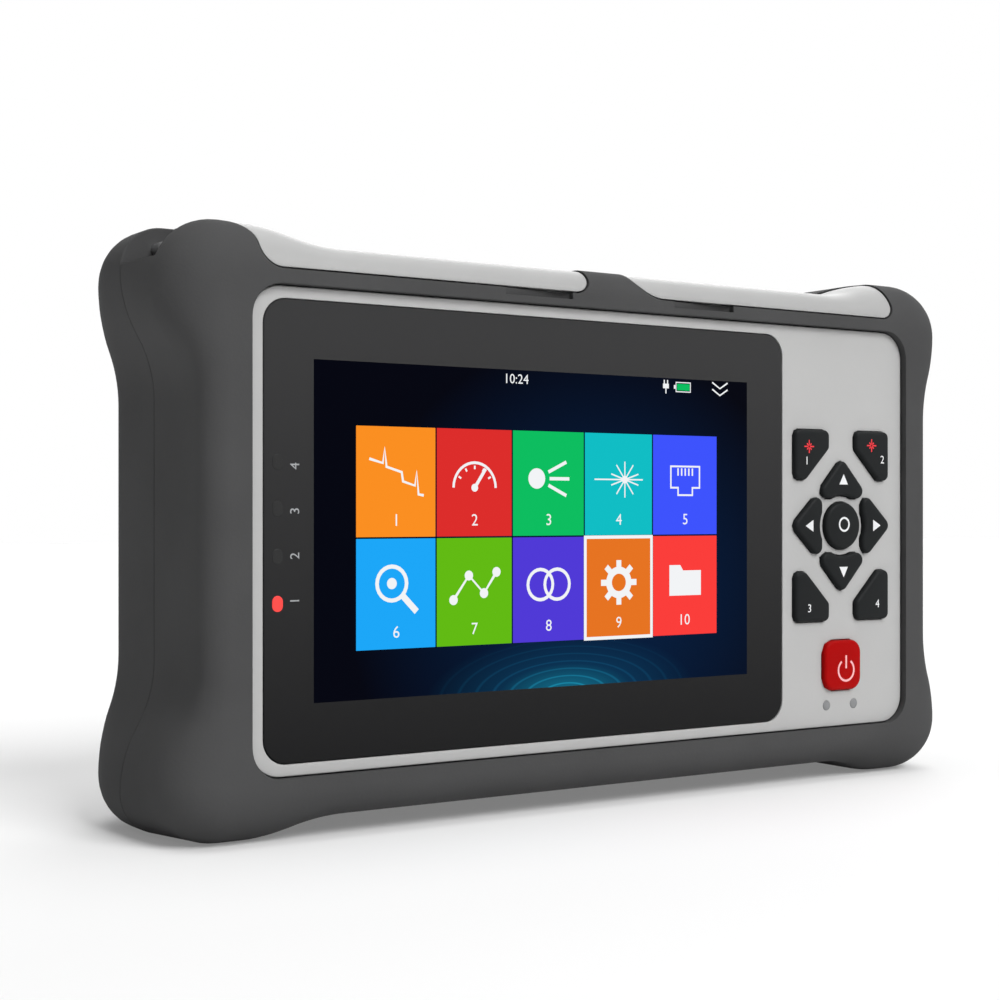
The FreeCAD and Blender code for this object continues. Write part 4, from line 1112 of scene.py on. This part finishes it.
@dataclass
class Picture:
    """Flat artwork in layers just above a face that looks along -Y, gathered by finish."""

    name: str
    face: float
    slot: str
    body: str = "housing"
    layer_step: float = 0.012
    letter_scale: float = 1.38
    sheets: dict[str, tuple[Surface, list[Vector], list[list[int]]]] = field(default_factory=dict)

    def patch(self, finish: Surface, outline: Sequence[Point], layer: int) -> None:
        """A filled outline.

        Args:
            finish: Its finish.
            outline: Its points, as (x, level).
            layer: How many layers it stands above the face.
        """
        points, faces = self.sheets.setdefault(finish.name, (finish, [], []))[1:]
        first = len(points)
        points += ring_y(outline, self.face - layer * self.layer_step)
        faces.append(list(range(first, len(points))))

    def stroke(self, finish: Surface, path: Sequence[Point], width: float, layer: int,
               closed: bool = False) -> None:
        """A line of even width along a path.

        Args:
            finish: Its finish.
            path: The points of its middle.
            width: Its width.
            layer: Its layer.
            closed: Whether the last point joins the first.
        """
        count = len(path)
        sides: list[tuple[Point, Point]] = []
        for index, spot in enumerate(path):
            before = path[index - 1] if closed or index else spot
            after = path[(index + 1) % count] if closed or index < count - 1 else spot
            way = (Vector(spot) - Vector(before)).normalized() + (Vector(after) - Vector(spot)).normalized()
            way = way.normalized() if way.length else Vector((1, 0))
            arm = Vector((-way.y, way.x)) * (width / 2)
            sides.append((tuple(Vector(spot) + arm), tuple(Vector(spot) - arm)))
        for index in range(count if closed else count - 1):
            here, then = sides[index], sides[(index + 1) % count]
            self.patch(finish, [*here, then[1], then[0]], layer)

    def number(self, finish: Surface, text: str, centre: Point, height: float, layer: int,
               turn: float = 0.0) -> None:
        """A plain number about a centre.

        Args:
            finish: Its finish.
            text: The digits.
            centre: Its middle.
            height: The height of its digits.
            layer: Its layer.
            turn: How far it is turned, in degrees.
        """
        curve = bpy.data.curves.new("digits", "FONT")
        curve.body, curve.size, curve.resolution_u = text, height * self.letter_scale, 3
        shown = link(bpy.data.objects.new("digits", curve))
        mesh = mesh_of(shown)
        flat = [vertex.co.xy for vertex in mesh.vertices]
        low, high = (Vector((pick(p.x for p in flat), pick(p.y for p in flat))) for pick in (min, max))
        spin = Matrix.Rotation(math.radians(turn), 2)
        spots = [tuple(spin @ (spot - (low + high) / 2) + Vector(centre)) for spot in flat]
        for polygon in mesh.polygons:
            self.patch(finish, [spots[index] for index in polygon.vertices], layer)
        bpy.data.objects.remove(shown)

    def build(self) -> None:
        """One mesh for each finish."""
        for key, (finish, points, faces) in self.sheets.items():
            dress(piece_from(f"{self.name}_{key}", points, faces), self.body, finish, self.slot)


def lit(name: str, *channels: int) -> LitFinish:
    """A lit finish from screen values, turned to linear light.

    Args:
        name: Its colour's name.
        channels: Its red, green and blue, each from 0 to 255.

    Returns:
        The finish.
    """
    shares = [value / 255 for value in channels]
    linear = [share / 12.92 if share <= 0.04045 else ((share + 0.055) / 1.055) ** 2.4 for share in shares]
    return LitFinish("lit_" + name, tuple(linear))


@dataclass(frozen=True)
class Mark:
    """A line of a sign, as points about its centre, or a filled shape where its width is nothing."""

    path: Sequence[Point]
    width: float = 0.55
    closed: bool = False


def dot(centre: Point, radius: float) -> Mark:
    """A filled disc."""
    return Mark(circle(centre, radius), 0)


def rays(centre: Point, angles: Iterable[float], near: float, far: float, width: float) -> list[Mark]:
    """Lines that point away from a centre, at some angles in degrees, between two distances."""
    return [Mark([arc(centre, size, angle, angle, 1)[0] for size in (near, far)], width) for angle in angles]


ROUTE_STOPS = ((-5, -2.6), (-1.4, 2.2), (2.2, -1.4), (5.2, 2.8))
SIGNS: dict[str, list[Mark]] = {
    "falling line with a spike": [
        Mark([(-6, 3.4), (-3, 2.6), (-2.6, 5.6), (-2.2, 1.9), (1.2, 0.9), (1.5, -0.9), (4.2, -1.7),
              (4.6, 1.2), (5.0, -3.4), (6.2, -3.6)])],
    "half dial with a pointer": [
        Mark(arc((0, -2), 5, 0, 180, 18)), Mark([(0, -2), (2.6, 1.8)], 0.7), dot((0, -2), 0.8),
        *rays((0, -2), (30, 60, 90, 120, 150), 3.7, 4.4, 0.4)],
    "lamp with three beams": [dot((-3, 0), 2.1), *rays((-3, 0), (-25, 0, 25), 3.2, 8.2, 0.7)],
    "star on a long line": [
        Mark([(-6.4, 0), (6.4, 0)], 0.3), *rays((1.6, 0), range(18, 360, 36), 0.6, 3.8, 0.3),
        dot((1.6, 0), 0.8)],
    "square socket with contacts": [
        Mark([(-4, 3), (4, 3), (4, -1.6), (2, -1.6), (2, -3.2), (-2, -3.2), (-2, -1.6), (-4, -1.6)],
             closed=True),
        *[Mark([(x, 2.6), (x, 1.0)], 0.4) for x in range(-2, 3)]],
    "hand lens": [
        Mark(circle((-1, 1), 3.3), 0.8, True), Mark([(1.5, -1.5), (4.6, -4.6)], 1.3), dot((-1, 1), 1.1)],
    "bent line with stations": [Mark(ROUTE_STOPS, 0.6), *[dot(stop, 1.0) for stop in ROUTE_STOPS]],
    "two linked rings": [Mark(circle((x, 0), 3.1), 0.7, True) for x in (-2.1, 2.1)],
    "toothed wheel": [Mark(circle((0, 0), 2.6), 1.5, True), *rays((0, 0), range(0, 360, 45), 3.0, 4.7, 1.3)],
    "folder with its tab": [
        Mark(rectangle((-4.4, 4.4), (-3.2, 2.2)), 0),
        Mark([(-4.4, 2.2), (-0.6, 2.2), (-1.4, 3.4), (-4.4, 3.4)], 0)],
}
STATUS_SIGNS: dict[str, list[Mark]] = {
    "plug": [Mark([(13.3, -1.5), (13.3, 0.2)], 0.3), Mark(rectangle((12.5, 14.1), (-0.4, 0.6)), 0),
             *[Mark([(x, 0.6), (x, 1.4)], 0.3) for x in (12.85, 13.75)]],
    "battery": [Mark(rectangle((16.1, 20.1), (-1, 1)), 0.3, True),
                Mark(rectangle((15.5, 15.95), (-0.4, 0.4)), 0)],
    "double chevron": [Mark([(26.3, z + 0.8), (28.5, z - 0.5), (30.7, z + 0.8)], 0.35) for z in (-0.9, 0.6)],
}


@dataclass
class MenuScreen:
    """The lit menu: a dark background, a status row and ten coloured tiles with plain signs and numbers."""

    sides: Point = (-71.6, 36.4)
    levels: Point = (-32.4, 32.4)
    grid_left: float = -62.7
    grid_top: float = 20.3
    tile_width: float = 18.08
    tile_height: float = 21.7
    tile_gap: float = 0.32
    tile_corner: float = 0.05
    row: int = 5
    chosen: int = 8
    frame_width: float = 0.5
    frame_inset: float = 0.9
    sign_lift: float = 1.0
    number_drop: float = 7.4
    number_height: float = 2.4
    status_level: float = 30.6
    clock: tuple[str, float, float] = ("10:24", -25.3, 2.0)
    charge: tuple[Point, Point] = ((16.4, 19.9), (29.9, 31.3))
    sign_layer: int = 4
    sheet: Picture = field(default_factory=lambda: Picture("menu", PANEL_FACE, "screen_black"))
    white: LitFinish = lit("white", 244, 246, 248)
    colours: tuple[LitFinish, ...] = (
        lit("orange", 253, 144, 32), lit("crimson", 222, 44, 42), lit("green", 8, 191, 96),
        lit("teal", 12, 191, 198), lit("indigo", 61, 83, 255), lit("sky", 26, 168, 250),
        lit("lime", 98, 188, 16), lit("violet", 80, 57, 216), lit("amber", 232, 116, 32),
        lit("red", 253, 61, 58),
    )

    def draw(self, x: float, level: float, marks: Sequence[Mark]) -> None:
        """Draws the marks of a sign in white.

        Args:
            x: Where its centre lies.
            level: The height of its centre.
            marks: The marks.
        """
        for mark in marks:
            path = [(x + dx, level + dz) for dx, dz in mark.path]
            if mark.width:
                self.sheet.stroke(self.white, path, mark.width, self.sign_layer, mark.closed)
            else:
                self.sheet.patch(self.white, path, self.sign_layer)

    def tile(self, index: int, colour: LitFinish, marks: Sequence[Mark]) -> None:
        """One tile with its sign and number.

        Args:
            index: Its place, counted from the upper left.
            colour: Its colour.
            marks: Its sign.
        """
        x = self.grid_left + (index % self.row + 0.5) * self.tile_width
        level = self.grid_top - (index // self.row + 0.5) * self.tile_height
        w, h = self.tile_width - self.tile_gap, self.tile_height - self.tile_gap
        if index == self.chosen:
            sizes = [size + self.frame_width for size in (w, h)]
            self.sheet.patch(self.white, round_rectangle((x, level), *sizes, self.tile_corner, 1), 2)
            w, h = w - self.frame_inset, h - self.frame_inset
        self.sheet.patch(colour, round_rectangle((x, level), w, h, self.tile_corner, 1), 3)
        self.draw(x, level + self.sign_lift, marks)
        self.sheet.number(self.white, str(index + 1), (x, level - self.number_drop), self.number_height,
                          self.sign_layer)

    def build(self) -> None:
        """The whole picture: background, tiles, clock, plug, battery and chevrons."""
        self.sheet.patch(WallpaperFinish(), rectangle(self.sides, self.levels), 1)
        for index, (colour, marks) in enumerate(zip(self.colours, SIGNS.values())):
            self.tile(index, colour, marks)
        digits, x, height = self.clock
        self.sheet.number(self.white, digits, (x, self.status_level), height, self.sign_layer)
        for marks in STATUS_SIGNS.values():
            self.draw(0.0, self.status_level, marks)
        self.sheet.patch(self.colours[2], rectangle(*self.charge), self.sign_layer)
        self.sheet.build()


ARROW_AXES: dict[str, tuple[Point, Point]] = {
    "up": ((1, 0), (0, 1)), "down": ((-1, 0), (0, -1)), "left": ((0, 1), (-1, 0)), "right": ((0, -1), (1, 0)),
}
CORNER_KEYS: dict[str, tuple[tuple[int, int], Point, float | None]] = {
    "manual": ((-1, 1), (53.4, 15.3), 0.7), "auto": ((1, 1), (77.4, 15.9), -3.5),
    "setup": ((-1, -1), (54.2, -18.3), None), "back": ((1, -1), (75.8, -17.8), None),
}


def placed(x: float, level: float, across: Point = (1, 0), up: Point = (0, 1)) -> Callable[[Point], Point]:
    """What moves the points of an outline to a centre, its own axes laid along two directions."""
    return lambda p: (x + p[0] * across[0] + p[1] * up[0], level + p[0] * across[1] + p[1] * up[1])


@dataclass
class Keypad:
    """Soft-edged keys round a round middle key, a red power key and two status lights."""

    side: float = 64.9
    level: float = 0.45
    rise: float = 1.2
    rear: float = -18.95
    rim: float = 0.75
    rim_steps: int = 5
    key_sharp: float = 50.0
    ok_radius: float = 5.45
    arrow_inner: float = 6.3
    arrow_tip: float = 15.65
    arrow_half_base: float = 8.7
    arrow_hollow: float = 7.0
    arrow_corner: float = 1.7
    arrow_sign: tuple[Point, ...] = ((0, 11.9), (-1.35, 9.5), (1.35, 9.5))
    corner_size: Point = (10.6, 11.4)
    corner_offset: Point = (9.5, 16.2)
    corner_cut: float = 7.2
    corner_radius: float = 1.4
    number_height: float = 1.9
    spark_lift: float = 3.2
    power_size: float = 11.5
    power_corner: float = 3.0
    power_drop: float = 32.2
    sign_width: float = 0.5
    ok_sign: tuple[Point, float, float] = ((65.1, 0.75), 1.5, 0.45)
    power_centre: Point = (65.7, -32.9)
    power_radius: float = 2.45
    power_arc: Point = (125.0, 415.0)
    power_line: Point = (0.4, 3.4)
    light_level: float = -40.9
    light_spread: float = 4.3
    light_profile: tuple[Point, ...] = ((0.87, -0.12), (1.12, 0.0), (1.12, 6.0))

    def arrow(self, grow: float) -> list[Point]:
        """Outline of the upward arrow key about the keypad's centre: a blunt triangle with a hollow base.

        Args:
            grow: How much larger it is all round.

        Returns:
            The outline's points.
        """
        corners = [(-self.arrow_half_base, self.arrow_inner), (self.arrow_half_base, self.arrow_inner),
                   (0, self.arrow_tip)]
        blunt = soft_corners(corners, self.arrow_corner, grow, 8)
        reach = self.arrow_hollow - grow
        half = math.degrees(math.acos(min((self.arrow_inner - grow) / reach, 1.0)))
        return blunt[:9] + arc((0, 0), reach, 90 + half, 90 - half, 12) + blunt[9:]

    def corner(self, grow: float) -> list[Point]:
        """Outline of the upper left corner key about its own centre.

        Args:
            grow: How much larger it is all round.

        Returns:
            The outline's points.
        """
        w, h = self.corner_size[0] / 2, self.corner_size[1] / 2
        corners = [(-w, -h), (w - self.corner_cut, -h), (w, -h + self.corner_cut), (w, h), (-w, h)]
        return soft_corners(corners, self.corner_radius, grow, 8)

    def middle(self, grow: float) -> list[Point]:
        """Outline of the round middle key about the keypad's centre."""
        return arc((0, 0), self.ok_radius + grow, 0, 352.5, 47)

    def power(self, grow: float) -> list[Point]:
        """Outline of the power key about its own centre."""
        size = self.power_size + 2 * grow
        return round_rectangle((0, 0), size, size, self.power_corner + grow, 8)

    def cap(self, name: str, outline: Callable[[float], list[Point]], place: Callable[[Point], Point],
            finish: Finish = KEY, slot: str = "key_slate") -> None:
        """One key cap with a round rim.

        Args:
            name: The key's name.
            outline: Its outline for a margin.
            place: Where each point of the outline goes.
            finish: Its finish.
            slot: Its material slot.
        """
        face = PANEL_FACE - self.rise
        stops = []
        for step in range(self.rim_steps + 1):
            angle = math.pi / 2 * step / self.rim_steps
            stops.append((-self.rim * (1 - math.sin(angle)), face + self.rim * (1 - math.cos(angle))))
        rings = [ring_y(map(place, outline(grow)), y) for grow, y in (*stops, (0.0, self.rear))]
        made = loft(f"key_{name}_cap", rings)
        smooth(made, self.key_sharp)
        dress(made, name + "_key", finish, slot, "key_" + name)

    def keys(self) -> None:
        """Every key."""
        x, z = self.side, self.level
        for name, axes in ARROW_AXES.items():
            self.cap(name, self.arrow, placed(x, z, *axes))
        dx, dz = self.corner_offset
        for name, ((sx, sz), _, _) in CORNER_KEYS.items():
            self.cap(name, self.corner, placed(x + sx * dx, z + sz * dz, (-sx, 0), (0, sz)))
        self.cap("ok", self.middle, placed(x, z))
        self.cap("power", self.power, placed(x, z - self.power_drop), RED_KEY, "key_red")

    def sheet(self, name: str, slot: str = "key_slate") -> Picture:
        """A sheet for the sign of one key."""
        return Picture(name + "_sign", PANEL_FACE - self.rise, slot, name + "_key")

    def signs(self) -> None:
        """Small signs and plain numbers on the keys."""
        x, z = self.side, self.level
        for name, axes in ARROW_AXES.items():
            sheet = self.sheet(name)
            sheet.patch(INK, [placed(x, z, *axes)(spot) for spot in self.arrow_sign], 1)
            sheet.build()
        for number, (name, (_, spot, spark)) in enumerate(CORNER_KEYS.items()):
            sheet = self.sheet(name)
            sheet.number(INK, str(number + 1), spot, self.number_height, 1)
            if spark is not None:
                self.spark(sheet, (spot[0] + spark, spot[1] + self.spark_lift))
            sheet.build()
        sheet, (centre, radius, width) = self.sheet("ok"), self.ok_sign
        sheet.stroke(INK, circle(centre, radius), width, 1, True)
        sheet.build()
        sheet, (across, up) = self.sheet("power", "key_red"), self.power_centre
        turn = arc(self.power_centre, self.power_radius, *self.power_arc, 22)
        sheet.stroke(ROSE_INK, turn, self.sign_width, 1)
        sheet.stroke(ROSE_INK, [(across, up + lift) for lift in self.power_line], self.sign_width, 1)
        sheet.build()

    @staticmethod
    def spark(sheet: Picture, centre: Point) -> None:
        """A small red star.

        Args:
            sheet: The sheet that it is drawn on.
            centre: Its middle.
        """
        for step in range(8):
            mark = rays(centre, [45 * step], 0.1, 1.0 if step % 2 else 1.5, 0.3)[0]
            sheet.stroke(RED_INK, mark.path, mark.width, 2)

    def lights(self) -> None:
        """The two round status lights."""
        for index, sign in enumerate((-1, 1)):
            spot = metres(self.side + sign * self.light_spread, PANEL_FACE, self.light_level)
            made = turned(f"status_light_{index + 1}", spot, ALONG_Y, self.light_profile, 32)
            smooth(made, self.key_sharp)
            dress(made, "housing", CLEAR_GUIDE, "light_guide", "status_lights")

    def build(self) -> None:
        """Keys, signs and lights."""
        self.keys()
        self.signs()
        self.lights()


@dataclass
class PanelPrint:
    """Small plain numbers beside the indicator lights."""

    side: float = -75.6
    levels: tuple[float, ...] = (-13.0, -4.6, 3.8, 12.2)
    height: float = 2.0

    def build(self) -> None:
        """The numbers, read from the right side."""
        sheet = Picture("window_print", PANEL_FACE, "lens_glass")
        for index, level in enumerate(self.levels):
            sheet.number(GREY_INK, str(index + 1), (self.side, level), self.height, 1, 90)
        sheet.build()


@dataclass
class Ports:
    """The three optical adapters in their bay."""

    sides: tuple[float, ...] = (-60.0, -42.5, -25.0)
    names: tuple[str, ...] = ("otdr_adapter", "power_meter_adapter", "fault_light_adapter")
    depth: float = -10.3
    flange: float = 12.5
    flange_foot: float = 39.0
    flange_thickness: float = 1.4
    flange_edge: float = 0.3
    barrel: float = 4.4
    top: float = 47.0
    tail: float = 3.1
    tail_foot: float = 33.2
    bore: float = 1.25
    recess: float = 2.6
    recess_depth: float = 2.0
    thread_pitch: float = 0.75
    thread_depth: float = 0.16
    thread_start: float = 1.0
    thread_end: float = 1.4
    sleeve_profile: tuple[Point, ...] = ((1.9, 0), (1.9, 1.5), (1.75, 1.7))

    def adapter(self, name: str, x: float) -> None:
        """One adapter: square flange, threaded barrel and stepped bore.

        Args:
            name: The CAD node that it stands for.
            x: Its place.
        """
        half, foot = self.flange / 2, self.flange_foot + self.flange_thickness
        plan = rectangle((x - half, x + half), (self.depth - half, self.depth + half))
        made = prism_z(name + "_body", plan, self.flange_foot, foot)
        soften(made, self.flange_edge)
        tall, radius = self.top - foot, self.barrel
        profile = [(radius, -0.2)]
        for index in range(int((tall - self.thread_end) / self.thread_pitch)):
            start = self.thread_start + index * self.thread_pitch
            profile += [(radius, start), (radius - self.thread_depth, start + self.thread_pitch / 2)]
        profile += [(radius, tall - 0.3), (radius - 0.3, tall)]
        tail = rod(metres(x, self.depth, self.tail_foot), ALONG_Z, self.tail,
                   self.flange_foot - self.tail_foot + 0.1, 48)
        change(made, Cut.JOINED, turned("barrel", metres(x, self.depth, foot), ALONG_Z, profile), tail)
        bores = ((self.bore, self.tail_foot - 1), (self.recess, self.top - self.recess_depth))
        change(made, Cut.AWAY, *[rod(metres(x, self.depth, low), ALONG_Z, wide, self.top + 1 - low, 32)
                                 for wide, low in bores])
        smooth(made)
        dress(made, "housing", NICKEL, "adapter_metal", name)

    def sleeve(self, name: str, x: float) -> None:
        """The pale ceramic sleeve that shows in the mouth of one adapter.

        Args:
            name: The adapter's CAD node.
            x: Its place.
        """
        low = self.top - self.recess_depth
        made = turned(name + "_sleeve", metres(x, self.depth, low - 0.2), ALONG_Z, self.sleeve_profile, 32)
        change(made, Cut.AWAY, rod(metres(x, self.depth, low - 1), ALONG_Z, self.bore, 4, 32))
        smooth(made)
        dress(made, "housing", CERAMIC, "adapter_metal")

    def build(self) -> None:
        """All three adapters."""
        for name, x in zip(self.names, self.sides):
            self.adapter(name, x)
            self.sleeve(name, x)


@dataclass
class BackScrews:
    """Four hexagon socket screws in the corners of the back panel."""

    side: float = 79.4
    level: float = 41.0
    seat: float = 20.6
    profile: tuple[Point, ...] = ((1.3, -24.0), (1.3, 0), (2.6, 0), (2.6, 1.65), (2.25, 2.0))
    socket: float = 1.25
    socket_floor: float = 0.8

    def build(self) -> None:
        """The screws' heads, with the first part of their shanks."""
        for index, (sx, sz) in enumerate(((-1, -1), (1, -1), (1, 1), (-1, 1))):
            spot = metres(sx * self.side, self.seat, sz * self.level)
            made = turned(f"back_screw_{index + 1}", spot, ALONG_Y, self.profile, 32)
            change(made, Cut.AWAY, rod(spot + ALONG_Y * self.socket_floor * MM, ALONG_Y, self.socket, 3, 6))
            smooth(made)
            dress(made, "housing", STEEL, "steel", "case_screws")


# Studio


@dataclass
class Studio:
    """Pale floor, plain soft light and the camera of the photograph."""

    lens: float = 63.2
    sensor: float = 36.0
    clip_start: float = 0.01
    camera_place: Place = (-225.3, -318.2, 62.0)
    heading: float = -33.6
    shift_y: float = 0.012
    floor_half: float = 3.0
    floor_colour: float = 0.84
    floor_lift: float = 0.2
    sky: float = 0.15
    lamps: tuple[tuple[str, Place, float, float], ...] = (
        ("front_light", (0.15, -0.75, 0.65), 2.5, 32.0),
        ("top_light", (0.1, 0.0, 1.0), 1.5, 50.0),
        ("rear_light", (0.65, 0.6, 0.45), 0.8, 40.0),
    )

    @staticmethod
    def seen(tree: Tree) -> Socket:
        """One where the camera looks, also by way of metal or glass, and else nothing.

        Args:
            tree: The nodes of the material or the world.

        Returns:
            The socket of that share.
        """
        ray = node(tree, "LightPath", {}).outputs
        total = ray["Is Camera Ray"]
        for kind in ("Is Glossy Ray", "Is Transmission Ray"):
            total = node(tree, "Math", {0: total, 1: ray[kind]}, operation="MAXIMUM").outputs["Value"]
        return total

    def floor(self) -> None:
        """A wide floor that holds the object's shadow."""
        corners = rectangle((-self.floor_half, self.floor_half), (-self.floor_half, self.floor_half))
        made = piece_from("floor", [Vector((x, y, 0)) for x, y in corners], [(0, 1, 2, 3)])
        paper = Finish("floor_paper", (self.floor_colour,) * 3, 0.9, grain_height=0.0, tone_spread=0.0,
                       specular=0.0).material()
        tree = paper.node_tree
        share = node(tree, "Math", {0: self.seen(tree), 1: self.floor_lift}, operation="MULTIPLY")
        shaded = tree.nodes["Principled BSDF"].outputs["BSDF"]
        pale = node(tree, "Emission", {}).outputs["Emission"]
        mix = node(tree, "MixShader", {"Fac": share.outputs["Value"], 1: shaded, 2: pale}).outputs["Shader"]
        fill(tree, tree.nodes["Material Output"], {"Surface": mix})
        made.data.materials.append(paper)

    def world(self) -> None:
        """Even pale surroundings, white where they are seen."""
        world = bpy.data.worlds.new("studio")
        world.use_nodes = True
        tree = world.node_tree
        tree.nodes.clear()
        plain, white = (node(tree, "Background", {"Color": (*WHITE, 1.0), "Strength": strength})
                        for strength in (self.sky, 1.0))
        mix = node(tree, "MixShader", {"Fac": self.seen(tree), 1: plain.outputs["Background"],
                                       2: white.outputs["Background"]}).outputs["Shader"]
        node(tree, "OutputWorld", {"Surface": mix})
        bpy.context.scene.world = world

    @staticmethod
    def lamp(name: str, source: Place, strength: float, angle: float) -> None:
        """A wide, distant, soft light.

        Args:
            name: Its name.
            source: The direction that its light comes from.
            strength: Its strength.
            angle: How wide it looks from the object, in degrees.
        """
        data = bpy.data.lights.new(name, "SUN")
        data.energy, data.angle = strength, math.radians(angle)
        made = link(bpy.data.objects.new(name, data))
        made.rotation_euler = (-Vector(source)).to_track_quat("-Z", "Y").to_euler()

    def camera(self) -> None:
        """The camera, level, at the photograph's angle."""
        data = bpy.data.cameras.new("photo_camera")
        data.lens, data.sensor_width, data.shift_y = self.lens, self.sensor, self.shift_y
        data.clip_start = self.clip_start
        made = link(bpy.data.objects.new("photo_camera", data))
        made.location = Vector(self.camera_place) * MM
        made.rotation_euler = (math.radians(90), 0, math.radians(self.heading))
        bpy.context.scene.camera = made

    def build(self) -> None:
        """Floor, surroundings, lamps and camera."""
        bpy.context.scene.view_settings.view_transform = "Standard"
        self.floor()
        self.world()
        for row in self.lamps:
            self.lamp(*row)
        self.camera()


def main() -> None:
    """Builds every sub-assembly in order."""
    logging.basicConfig(level=logging.INFO)
    optical = PortCover("optical_cover", "optical_lid", OPTICAL_PLAN)
    aux = PortCover("aux_cover", "aux_lid", AUX_PLAN)
    for assembly in (Jackets(), optical, aux, KeptNodes(), Window(), MenuScreen(), Keypad(), PanelPrint(),
                     Ports(), BackScrews(), Studio()):
        assembly.build()


if __name__ == "__main__":
    main()
